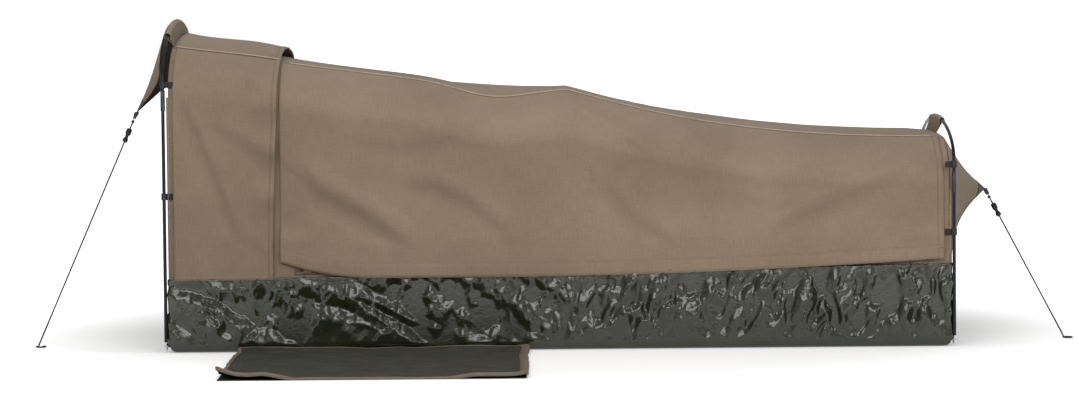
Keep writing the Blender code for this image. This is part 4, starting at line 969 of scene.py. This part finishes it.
# Hoods: a canvas triangle over each window, sewn across the end and pulled out to a point by its
# guy rope, so its lower edges hang hollow. The edges are bound and the point is backed with webbing.
hood_x = {"head": -1.0896, "foot": 1.0700}
hood_tip = {"head": (-1.195, 0.0, 0.646), "foot": (1.213, 0.0, 0.408)}
hood_tip_half_width, hood_sag, hood_hollow, hood_columns = 0.012, 0.012, 0.024, 61
hood_hem_gauge, hood_patch_gauge, hood_wall_gap, foot_hood_low = 0.0008, 0.0010, 0.004, 0.232


def make_hood(label, out, knots, seed):
    """A hood from a line of (y, z) knots across the canopy's end to its tip, and the hood's trims."""
    knots, lengths = np.array(knots), line_lengths(knots)
    at = np.linspace(0, lengths[-1], hood_columns)
    start = np.column_stack([np.full(hood_columns, hood_x[label]), np.interp(at, lengths, knots[:, 0]),
                             np.interp(at, lengths, knots[:, 1])])
    across = np.linspace(-1, 1, hood_columns)
    end = np.array(hood_tip[label]) + across[:, None] * [0, hood_tip_half_width, 0]
    rows = []
    for share in np.linspace(0, 1, 34):
        slack = math.sin(math.pi * share)
        row = start + (end - start) * share
        uneven = soft_noise(across / 0.18, across * 0 + share / 0.3, seed)
        pull = 0.0022 * np.cos(across * 9.0) + 0.0012 * uneven
        row[:, 0] += out * slack * (pull * (1 - np.abs(across) ** 3) - hood_hollow * across ** 4)
        row[:, 2] += hood_sag * slack * (across ** 4 * 2 - 1)
        rows.append(row)
    grid, facing = np.array(rows), (out, 0, 0.5)
    hood = sew(f"{label}_canvas_hood", grid, canvas, canvas_cloth, facing, f"{label}_hood")
    hems = raised(grid, facing, hood_hem_gauge)
    trims = [sew(f"{label}_hood_hem_{side_name}", hems[:, columns], canvas, hood_hem_gauge, facing)
             for side_name, columns in (("near", slice(0, 4)), ("far", slice(-4, None)))]
    patch = raised(grid, facing, hood_patch_gauge)[-7:]
    trims.append(sew(f"{label}_hood_patch", patch, webbing, hood_patch_gauge, facing))
    return hood, trims


head_knots = [(-leg_half_width * math.cos(a), arch_start["head"] + arch_rise["head"] * math.sin(a))
              for a in np.linspace(math.radians(16), math.radians(164), 60)]
head_hood, head_trims = make_hood("head", -1, head_knots, 81)

foot_shoulder, hood_side = float(shoulder_height(canopy_foot_x)), canopy_half_width - hood_wall_gap
foot_knots = [(-hood_side, z) for z in np.linspace(foot_hood_low, foot_shoulder, 8)[:-1]]
foot_knots += [(-hood_side * math.cos(a), foot_shoulder + (ellipse_height - hood_wall_gap) * math.sin(a))
               for a in np.linspace(0, edge_angle, 12)]
foot_knots += [(y, float(roof_height(canopy_foot_x, y)) - hood_wall_gap)
               for y in np.linspace(-seam_half_width, 0, 8)[1:]]
foot_hood, foot_trims = make_hood("foot", 1, foot_knots + mirrored(foot_knots), 83)

# Pole clips: moulded plastic C's that snap on the legs, each on a short strap of webbing sewn to the
# canopy's corner
clip_height, clip_wall, clip_play, clip_mouth = 0.018, 0.0032, 0.0003, math.radians(80)
clip_patch, clip_strap_half, clip_patch_half = 0.0140, 0.0075, 0.0085
clip_heights = {"head": (0.428, 0.733), "foot": (0.313, 0.498)}
clip_edge = [(0.0009, 0.0), (0.0004, 0.0002), (0.0001, 0.0006), (0.0, 0.0012)]

plastic, wire, give = new_finish("black_plastic", "black_plastic", Roughness=0.4, Specular_IOR_Level=0.35)
rubbed = wire.places().noise(120.0, 4.0, 0.65)
give(Base_Color=rubbed.mixed((0.009, 0.009, 0.010), (0.030, 0.030, 0.032)), Roughness=0.30 + rubbed * 0.25,
     Normal=wire.places().noise(1400.0, 2.0).bump(0.0001, 0.5))


def clip_outline(inset):
    """The clip's outline round its pole, as distances toward the canopy and across."""
    inner, outer = pole_radius + clip_play + inset, pole_radius + clip_play + clip_wall - inset
    middle, tip, open_at = (inner + outer) / 2, clip_wall * 0.62, math.pi - clip_mouth / 2
    tip_turn = np.linspace(0.5, math.pi - 0.5, 5)
    outline = [(outer, a) for a in np.linspace(0.32, open_at, 15)]
    outline += [(middle + tip * math.cos(a), open_at + 0.16 * math.sin(a)) for a in tip_turn]
    outline += [(inner, a) for a in np.linspace(open_at, -open_at, 27)]
    outline += [(middle - tip * math.cos(a), -open_at - 0.16 * math.sin(a)) for a in tip_turn]
    outline += [(outer, a) for a in np.linspace(-open_at, -0.32, 15)]
    block, half_block = outer + 0.0016 - inset, 0.0027 - inset
    outline = [(r * math.cos(a), r * math.sin(a)) for r, a in outline]
    return outline + [(block, -half_block), (block, half_block)]


def make_clip(label, out, side_name, side, level, height):
    centre = np.array([hoop_x[label], side * leg_half_width])
    anchor = np.array([end_x[label], side * (canopy_half_width - 0.00125)])
    toward = (anchor - centre) / np.linalg.norm(anchor - centre)
    across = np.array([-toward[1], toward[0]])
    place, low = f"{side_name}_{level}", height - clip_height / 2
    levels = clip_edge + [(inset, clip_height - z) for inset, z in reversed(clip_edge)]
    rings = [[(*(centre + toward * u + across * v), low + z) for u, v in clip_outline(inset)]
             for inset, z in levels]
    clip = closed_rings(f"{label}_pole_clip_{place}", rings, plastic, f"{label}_clip_{place}")
    clip.data.set_sharp_from_angle(angle=math.radians(40))
    start = centre + toward * (pole_radius + clip_wall + 0.0006)
    rows = []
    for share in np.linspace(0, 1, 9):
        spot = start + (anchor - start) * share + across * (0.0011 * math.sin(math.pi * share))
        rows.append([(*spot, height + up) for up in (-clip_strap_half, 0, clip_strap_half)])
    sew(f"{label}_clip_strap_{place}", rows, webbing, 0.0014, (*across, 0))
    patch_x = end_x[label] - out * np.linspace(-0.0015, clip_patch, 7)
    patch_y = side * (canopy_half_width + 0.0012 + 0.0010 * np.sin(np.linspace(0, math.pi, 7)))
    rows = [np.column_stack([patch_x, patch_y, np.full(7, height + up)])
            for up in np.linspace(-clip_patch_half, clip_patch_half, 4)]
    sew(f"{label}_clip_patch_{place}", rows, webbing, 0.0012, (0, side, 0))


for label, out in both_ends:
    for name, height in zip(("low", "high"), clip_heights[label]):
        for side_name, side in both_sides:
            make_clip(label, out, side_name, side, name, height)

# Feet: a steel wire pin up each leg's bore, bent into an eye that holds a ring, which a webbing loop
# on the tub's end pulls in
pin_wire, pin_eye, pin_eye_height, pin_top = 0.0020, 0.0042, 0.018, 0.078
ring_radius, ring_wire = 0.0125, 0.0015
loop_bore, loop_cloth, loop_half_width = 0.0024, 0.0018, 0.005
tub_end_x = {"head": tub_head_x, "foot": tub_foot_x}

steel, wire, give = new_finish("plated_steel", "plated_steel", Metallic=1.0)
mist = wire.places().noise(260.0, 4.0, 0.6)
give(Base_Color=mist.mixed((0.50, 0.51, 0.53), (0.74, 0.75, 0.77)), Roughness=0.14 + mist * 0.22,
     Normal=mist.bump(0.0001, 0.3))


def make_foot(label, end, out, side):
    inward, up, away = np.array([0.0, -side, 0.0]), np.array([0.0, 0.0, 1.0]), np.array([out, 0.0, 0.0])
    shaft = np.array([hoop_x[end], side * leg_half_width, pin_eye_height])
    eye = shaft + inward * pin_eye
    path = [shaft + up * (pin_top - pin_eye_height), shaft + up * 0.004]
    path += [eye + (away * math.sin(a) - inward * math.cos(a)) * pin_eye
             for a in np.radians(np.linspace(15, 300, 28))]
    bar(f"{label}_wire_pin", path, pin_wire, steel, f"{label}_pin")
    middle = eye + inward * ring_radius
    path = [middle + (inward * math.cos(a) + up * math.sin(a)) * ring_radius
            for a in np.linspace(0, 2 * math.pi, 48, endpoint=False)]
    bar(f"{label}_split_ring", path, ring_wire, steel, f"{label}_ring", loop=True)
    centre = middle + inward * ring_radius
    wall = np.array([tub_end_x[end] + out * 0.0003, *centre[1:]])
    low, high = wall + away * loop_cloth / 2, wall + away * loop_cloth * 1.6
    round_ring = loop_bore + loop_cloth / 2
    path = [low + inward * 0.050, low + inward * 0.012]
    path += [centre - (away * math.cos(a) + inward * math.sin(a)) * round_ring
             for a in np.radians(np.linspace(20, 215, 16))]
    path = np.array(path + [high + inward * 0.012, high + inward * 0.046])
    tab = sew(f"{label}_webbing_loop", [path + up * lift for lift in (-loop_half_width, 0, loop_half_width)],
              webbing, 0.0012, lambda at: at - centre, f"{label}_tab")
    tab.modifiers["thickness"].offset = 0


for end, out in both_ends:
    for side_name, side in both_sides:
        make_foot(f"{end}_{side_name}", end, out, side)

# Guy ropes: braided cord from a webbing tab on each hood's point, drawn tight by a runner, with a
# loop in its end that lies on the ground
rope_radius = 0.0022
head_rope_route = ((-1.2038, -0.0081, 0.6243), (-1.2392, -0.0408, 0.5366), (-1.2887, -0.0865, 0.4139),
                   (-1.3453, -0.1388, 0.2737), (-1.4020, -0.1911, 0.1335), (-1.4472, -0.2328, 0.0215),
                   (-1.4550, -0.2400, 0.0022), (-1.4589, -0.2524, 0.0022), (-1.4500, -0.2620, 0.0022),
                   (-1.4374, -0.2591, 0.0022), (-1.4335, -0.2467, 0.0022), (-1.4423, -0.2371, 0.0022))
foot_rope_route = ((1.2224, -0.0117, 0.3883), (1.2605, -0.0588, 0.3087), (1.3138, -0.1247, 0.1972),
                   (1.3746, -0.2000, 0.0699), (1.3986, -0.2296, 0.0197), (1.4070, -0.2400, 0.0022),
                   (1.4191, -0.2447, 0.0022), (1.4292, -0.2365, 0.0022), (1.4272, -0.2237, 0.0022),
                   (1.4151, -0.2190, 0.0022), (1.4050, -0.2272, 0.0022))
tab_length, tab_half_width, tab_gauge, tab_sewn = 0.022, 0.009, 0.0011, 0.0005
runner_start, runner_length, runner_radius, runner_waist = 0.030, 0.040, 0.0078, 0.0046
runner_shares = ((0.0, 0.75), (0.06, 1.0), (0.38, 1.0), (0.52, 0.0), (0.66, 0.0), (0.80, 0.9), (0.94, 0.9),
                 (1.0, 0.6))
knot_radius, knot_twist, knot_place = 0.0032, 0.0016, 0.006
rib_height, rib_half_width, rib_length = 0.0068, 0.0034, 0.016

braid, wire, give = new_finish("dark_rope", "dark_rope", Roughness=0.8, Sheen_Weight=0.2)
place = wire.places()
strands = ((place.part("Z") * 1500.0 + place.part("X") * 1900.0).sine()
           * (place.part("Z") * 1500.0 - place.part("Y") * 1900.0).sine())
flecks = place.noise(700.0, 2.0)
give(Base_Color=(strands * 0.3 + flecks * 0.8).mixed((0.006, 0.006, 0.007), (0.030, 0.030, 0.031)),
     Roughness=0.70 + flecks * 0.2, Normal=strands.bump(0.0004, 0.8))


def smooth_route(points, spans_each=4):
    """A curve through the route's points, each span rounded by its neighbours."""
    knots = np.array(points)
    knots = np.vstack([2 * knots[0] - knots[1], knots, 2 * knots[-1] - knots[-2]])
    path = [knots[1]]
    for before, start, end, after in zip(knots, knots[1:], knots[2:], knots[3:]):
        for share in np.linspace(0, 1, spans_each + 1)[1:]:
            path.append(start * (1 - 3 * share ** 2 + 2 * share ** 3)
                        + (end - before) / 2 * (share - 2 * share ** 2 + share ** 3)
                        + end * (3 * share ** 2 - 2 * share ** 3)
                        + (after - start) / 2 * (share ** 3 - share ** 2))
    path = np.array(path)
    path[:, 2] = np.maximum(path[:, 2], rope_radius)
    return path


def make_guy(label, route, body):
    tip, start = np.array(hood_tip[label]), np.array(route[0])
    away = np.array(route[1]) - start
    away /= np.linalg.norm(away)
    across = np.cross(away, (0, 0, 1.0))
    across /= np.linalg.norm(across)
    thick = np.cross(across, away)
    path = smooth_route(route)
    rope = bar(f"{label}_rope", path, rope_radius, braid, f"{label}_guy_rope")
    rows = []
    for v in np.linspace(0, 1, 9):
        at = tip + away * (tab_sewn + (tab_length - tab_sewn) * v)
        reach = across * tab_half_width * (1 - 0.35 * v * v) + thick * 0.0007 * math.sin(6 * v)
        rows.append([at + reach * u for u in (-1, -0.5, 0, 0.5, 1)])
    tab = sew(f"{label}_guy_webbing", rows, webbing, 2 * tab_gauge, thick, f"{label}_guy_tab")
    tab.modifiers["thickness"].offset = 0
    turns = [start + away * (knot_place + knot_twist * math.sin(2 * a))
             + (across * math.cos(a) + thick * math.sin(a)) * knot_radius
             for a in np.linspace(0, 2 * math.pi, 30, endpoint=False)]
    knot = bar(f"{label}_rope_knot", turns, rope_radius * 0.9, braid, loop=True)
    bulges = [(runner_waist + (runner_radius - runner_waist) * np.interp(s, *zip(*runner_shares)),
               runner_start + runner_length * s) for s in np.linspace(0, 1, 45)]
    bore = rope_radius + 0.0004
    profile = [(bore, runner_start + 0.0004)] + bulges + [(bore, runner_start + runner_length - 0.0004)]
    runner = turned(f"{label}_rope_runner", profile, start, away, plastic, f"{label}_runner", body)
    rows = []
    for v in np.linspace(0, 1, 7):
        at = start + away * (runner_start + 0.002 + rib_length * v) + thick * rib_height
        arch = 0.0022 * math.sin(math.pi * v)
        rows.append([at + across * rib_half_width * u + thick * (arch - 0.0012 * u * u)
                     for u in np.linspace(-1, 1, 7)])
    rib = sew(f"{label}_runner_thumb_rib", rows, plastic, 0.0020, thick, body=body)


make_guy("head", head_rope_route, "head_runner_body")
make_guy("foot", foot_rope_route, "foot_runner_body")

# Zip: a nylon coil on a woven tape, which is sewn along the sill under the door's hem. A metal slider
# runs on the coil.
zip_base, zip_top, zip_coil_height = 0.006, 0.030, 0.018
zip_head_x, zip_foot_x, tooth_pitch, coil_wire = -0.725, 1.010, 0.0034, 0.00045

nylon, wire, give = new_finish("zip_nylon", "zip_nylon", Roughness=0.6)
lint = wire.places().noise(150.0, 3.0)
give(Base_Color=lint.mixed((0.130, 0.096, 0.065), (0.190, 0.142, 0.098)), Roughness=0.5 + lint * 0.25,
     Normal=wire.places().threads("X", 5200.0, "Z", 5200.0).bump(0.0002, 0.6))


def on_sill(x, out, up):
    return np.stack([x, -(canopy_half_width + out) + 0 * x, rim_height(x) + up + 0 * x], -1)


tape_x = np.linspace(zip_head_x, zip_foot_x, 260)
sew("zip_tape", [on_sill(tape_x, 0.0014, up) for up in np.linspace(zip_base, zip_top, 9)], nylon, 0.0008,
    (0, NEAR, 0), "sill_zip")
coil_x = np.arange(zip_head_x + 0.004, zip_foot_x - 0.004, tooth_pitch / 8)
turn = (coil_x - coil_x[0]) / tooth_pitch * 2 * math.pi
coil_line = on_sill(coil_x, 0.0029 + 0.0011 * np.cos(turn), zip_coil_height + 0.0024 * np.sin(turn))
bar("zip_coil", coil_line, coil_wire, nylon, round_steps=1)

bronze, wire, give = new_finish("slider_bronze", None, Metallic=0.9)
tarnish = wire.places().noise(420.0, 4.0, 0.6)
give(Base_Color=tarnish.mixed((0.070, 0.054, 0.036), (0.165, 0.128, 0.086)), Roughness=0.38 + tarnish * 0.2,
     Normal=tarnish.bump(0.0001, 0.3))
cad["zip_slider"].material_slots[0].material = bronze
softened = cad["zip_slider"].modifiers.new("softened_edges", "BEVEL")
softened.width = 0.0004
softened.segments = 2

# Insect screen: fine mesh rolled up under the near roof seam, held by webbing ties. It passes under
# the inner hoop.
screen_roll_radius, screen_roll_y, screen_columns = 0.011, -0.266, 40
screen_x = np.linspace(-0.660, 0.920, 220)
mid_hoop_radius, mid_hoop_knee, mid_hoop_start, mid_hoop_apex = 0.0040, 0.4245, 0.575, 0.699
mid_hoop_power, hoop_gap, roof_gap = 2.8, 0.0013, 0.0030
hoop_level = 1 - ((abs(screen_roll_y) + screen_roll_radius) / mid_hoop_knee) ** mid_hoop_power
under_hoop = (mid_hoop_start + (mid_hoop_apex - mid_hoop_start) * hoop_level ** (1 / mid_hoop_power)
              - mid_hoop_radius - hoop_gap - screen_roll_radius)
under_roof = seam_height(screen_x) - roof_gap - screen_roll_radius
screen_z = under_roof + (under_hoop - under_roof) * np.exp(-((screen_x - peak_x) / 0.060) ** 4)
tie_places = (-0.56, -0.20, 0.16, 0.50, 0.82)
tie_section = ((-0.006, 0.0004), (-0.006, 0.0014), (0.006, 0.0014), (0.006, 0.0004), (-0.006, 0.0004))


def screen_ring(x, z, grow=0.0):
    """A section of the roll: a few loose turns, so its outline has a step where the mesh ends."""
    angle = np.linspace(0, 2 * math.pi, screen_columns, endpoint=False)
    waist = 1 - 0.16 * sum(math.exp(-((x - tie) / 0.012) ** 2) for tie in tie_places)
    loose = soft_noise(angle * 1.3, x / 0.045 + 0 * angle, 91)
    radius = screen_roll_radius * waist * (0.93 + 0.05 * loose - 0.07 * angle / (2 * math.pi)) + grow
    return np.column_stack([x + 0 * angle, screen_roll_y + radius * np.cos(angle),
                            z + radius * np.sin(angle)])


rolled_net, wire, give = new_finish("rolled_mesh", "insect_mesh", Roughness=0.85)
bars = net_bars(wire.on_cloth())
layers = wire.on_cloth().stretched((3.0, 90.0, 1.0)).noise(1.0, 3.0)
give(Base_Color=(layers * 0.7 + bars * 0.3).mixed((0.010, 0.010, 0.010), (0.045, 0.045, 0.044)),
     Roughness=0.72 + layers * 0.2, Normal=(bars * 0.3 + layers).bump(0.0010, 0.8))
closed_rings("screen_roll", [screen_ring(x, z) for x, z in zip(screen_x, screen_z)], rolled_net,
             "insect_screen_roll")
for number, tie in enumerate(tie_places, 1):
    tie_z = float(np.interp(tie, screen_x, screen_z))
    strap = [screen_ring(tie + shift, tie_z, grow) for shift, grow in tie_section]
    sew(f"screen_tie_{number}", strap, webbing, 0, lambda at: at - at.mean(0), ring=True)

# Boot mat: two layers of coated olive cloth in a folded tan binding, lying on the ground before the
# door. Its rear edge rests up against the tub in waves, and the corner towards the head stands up.
mat_head_x, mat_foot_x, mat_rear_y, mat_front_y = -0.882, -0.086, -0.451, -1.215
mat_gauge, mat_rear_lift, mat_corner_reach, mat_corner_radius = 0.0035, 0.007, 0.200, 0.012
mat_middle = ((mat_head_x + mat_foot_x) / 2, (mat_rear_y + mat_front_y) / 2)
mat_half = ((mat_foot_x - mat_head_x) / 2, (mat_rear_y - mat_front_y) / 2)
binding_width, foot_binding_width = 0.011, 0.012
front_lift_line = ((0.0, 0.0300), (0.055, 0.0150), (0.085, 0.0125), (0.124, 0.0165), (0.200, 0.0))

mat_cloth, wire, give = new_finish("olive_mat", "olive_mat", Roughness=0.8, Specular_IOR_Level=0.35)
place = wire.places()
streaks = place.stretched((9.0, 34.0, 9.0)).noise(1.0, 4.0, 0.6)
dust = place.noise(16.0, 4.0, 0.6)
wear = (streaks * 0.55 + dust * 0.5).between(0.30, 0.78)
give(Base_Color=wear.mixed((0.024, 0.027, 0.017), (0.062, 0.066, 0.047)), Roughness=0.66 + dust * 0.22,
     Normal=(place.threads("X", 2900.0, "Y", 2900.0) * 0.25 + streaks).bump(0.0009, 0.6))

mat_tape, wire, give = new_finish("mat_binding", "tan_canvas", Roughness=0.85)
soiling = wire.places().noise(45.0, 4.0, 0.6)
give(Base_Color=soiling.mixed((0.120, 0.092, 0.066), (0.235, 0.185, 0.135)), Roughness=0.78 + soiling * 0.15,
     Normal=(wire.places().threads("X", 2600.0, "Y", 2600.0) * 0.4 + soiling).bump(0.0008, 0.6))


def mat_height(x, y):
    """The top of the mat, as it lies."""
    front = y - mat_front_y
    back = front / (mat_rear_y - mat_front_y)
    wave = 1 + np.sin(3 * math.pi * (x - mat_head_x) / (mat_foot_x - mat_head_x)) / 3
    rear = mat_rear_lift * wave * eased(1 - (1 - back) / 0.10)
    rear = rear + 0.0022 * soft_noise(x / 0.075, 0 * x, 101) * eased(1 - (1 - back) / 0.06)
    corner = np.interp(x - mat_head_x, *zip(*front_lift_line)) * eased(1 - front / mat_corner_reach)
    foot_front = 0.0105 * eased((x + 0.300) / 0.090) * eased(1 - front / 0.070)
    end_curl = 0.0050 * eased((x - mat_foot_x + 0.035) / 0.035)
    ripple = 0.0011 * (1 + soft_noise(x / 0.115, y / 0.085, 102))
    creasing = 0.0007 * (1 + soft_noise(x / 0.04, y / 0.10, 103))
    return mat_gauge + rear + corner + foot_front + end_curl + ripple + creasing


def mat_edges(x, y):
    """The mat's edges aren't quite straight."""
    x = x + 0.0035 * soft_noise(y / 0.055, 0 * y, 104) * (np.abs(x - mat_middle[0]) > 0.30)
    return x, y + 0.0030 * soft_noise(x / 0.080, 0 * x, 105)


def mat_rim(inset, lift, foot_extra=0.0):
    """A line round the mat, inset from its edge and lifted off its top face."""
    corner = max(mat_corner_radius - inset, 0.002)
    x, y = rounded_outline(mat_half[0] - inset, mat_half[1] - inset, corner, mat_middle)[:, :2].T
    x, y = mat_edges(x - foot_extra * eased((x - mat_foot_x + 0.060) / 0.030), y)
    return np.column_stack([x, y, mat_height(x, y) + lift])


mat_x, mat_y = mat_edges(*np.meshgrid(np.linspace(mat_head_x + 0.002, mat_foot_x - 0.002, 150),
                                      np.linspace(mat_front_y + 0.002, mat_rear_y - 0.002, 110)))
top_layer = sew("mat_top_layer", np.stack([mat_x, mat_y, mat_height(mat_x, mat_y)], -1), mat_cloth, 0.0012,
                (0, 0, 1), "entry_mat")
under_x, under_y = np.meshgrid(np.linspace(mat_head_x + 0.004, mat_foot_x - 0.004, 40),
                               np.linspace(mat_front_y + 0.003, mat_rear_y - 0.004, 40))
under_layer = sew("mat_under_layer", np.stack([under_x, under_y, 0.0013 + 0 * under_x], -1), mat_cloth,
                  0.0010, (0, 0, 1))
outer_drop, inner_drop = mat_rim(0.0005, 0.0), mat_rim(0.0022, 0.0)
outer_drop[:, 2] = np.minimum(outer_drop[:, 2] - 0.0028, np.maximum(0.0008, outer_drop[:, 2] - 0.0085))
inner_drop[:, 2] = outer_drop[:, 2]
rim_rings = [mat_rim(binding_width, lift, foot_binding_width) for lift in (0.0003, 0.0011)]
rim_rings += [mat_rim(0.004, 0.0013), mat_rim(0.001, 0.0010), mat_rim(0.0, 0.0), mat_rim(0.0, -0.0017),
              outer_drop, inner_drop, mat_rim(0.0022, -0.0013)]
binding = sew("mat_binding_tape", rim_rings + rim_rings[:1], mat_tape, 0, lambda at: at - [*mat_middle, 0.0],
              ring=True)

# Floor, light and camera: a pale sweep under three soft studio lamps, seen from the photograph's
# place through a long lens
floor_corners = [(-30, -14, -0.0006), (30, -14, -0.0006), (30, 40, -0.0006), (-30, 40, -0.0006)]


def ray_kinds(wire):
    """Three wires, each 1 on its kind of ray: from the camera, through clear pieces, off shiny ones."""
    return [wire.node("ShaderNodeLightPath", output=f"Is {kind} Ray")
            for kind in ("Camera", "Transmission", "Glossy")]


floor_mesh = bpy.data.meshes.new("studio_floor")
floor_mesh.from_pydata(floor_corners, [], [(0, 1, 2, 3)])
floor_paint, wire, give = new_finish("studio_floor_white", None, Roughness=0.95, Specular_IOR_Level=0.1,
                                     Base_Color=(0.84, 0.84, 0.84, 1.0), Emission_Strength=1.0)
seen, passed, glossed = ray_kinds(wire)
away = wire.node("ShaderNodeVectorMath", {0: wire.places()}, output=1, operation="LENGTH")
lit = (seen + glossed + passed).clamped() * (0.30 + 0.9 * away.between(1.0, 2.3)).clamped()
give(Emission_Color=lit.mixed((0.0, 0.0, 0.0), (1.0, 1.0, 1.0)))
floor_mesh.materials.append(floor_paint)
floor = bpy.data.objects.new("studio_floor", floor_mesh)
bpy.context.scene.collection.objects.link(floor)

world = bpy.data.worlds.new("studio")
bpy.context.scene.world = world
world.use_nodes = True
sky = world.node_tree.nodes["Background"]
sky.inputs["Color"].default_value = (1.0, 1.0, 1.0, 1.0)
seen, passed, glossed = ray_kinds(Wire(world.node_tree))
strength = 0.34 + 0.66 * (seen + passed + glossed * 0.05).clamped()
world.node_tree.links.new(strength.socket, sky.inputs["Strength"])


def lamp(name, place, aim, size, power):
    light = bpy.data.lights.new(name, "AREA")
    light.shape = "RECTANGLE"
    light.size, light.size_y = size
    light.energy = power
    holder = bpy.data.objects.new(name, light)
    holder.location = place
    holder.rotation_euler = (Vector(aim) - Vector(place)).to_track_quat("-Z", "Y").to_euler()
    bpy.context.scene.collection.objects.link(holder)


lamp("overhead_softbox", (-0.3, -0.9, 3.2), (0.0, 0.0, 0.2), (3.6, 0.5), 22)
lamp("front_softbox", (-0.35, -4.6, 2.4), (-0.2, 0.0, 0.3), (4.6, 1.9), 112)
lamp("foot_softbox", (3.8, -2.4, 1.7), (0.9, -0.2, 0.35), (1.4, 1.2), 21)

camera_place, camera_tilt, camera_roll = (-0.0537, -10.95, 1.0), -3.31, -0.51
camera_data = bpy.data.cameras.new("camera")
camera_data.sensor_width = 36.0
camera_data.lens = 128.57
camera = bpy.data.objects.new("camera", camera_data)
camera.matrix_world = (Matrix.Translation(camera_place)
                       @ Matrix.Rotation(math.radians(90 + camera_tilt), 4, "X")
                       @ Matrix.Rotation(math.radians(camera_roll), 4, "Z"))
bpy.context.scene.collection.objects.link(camera)
bpy.context.scene.camera = camera
bpy.context.scene.view_settings.view_transform = "Standard"
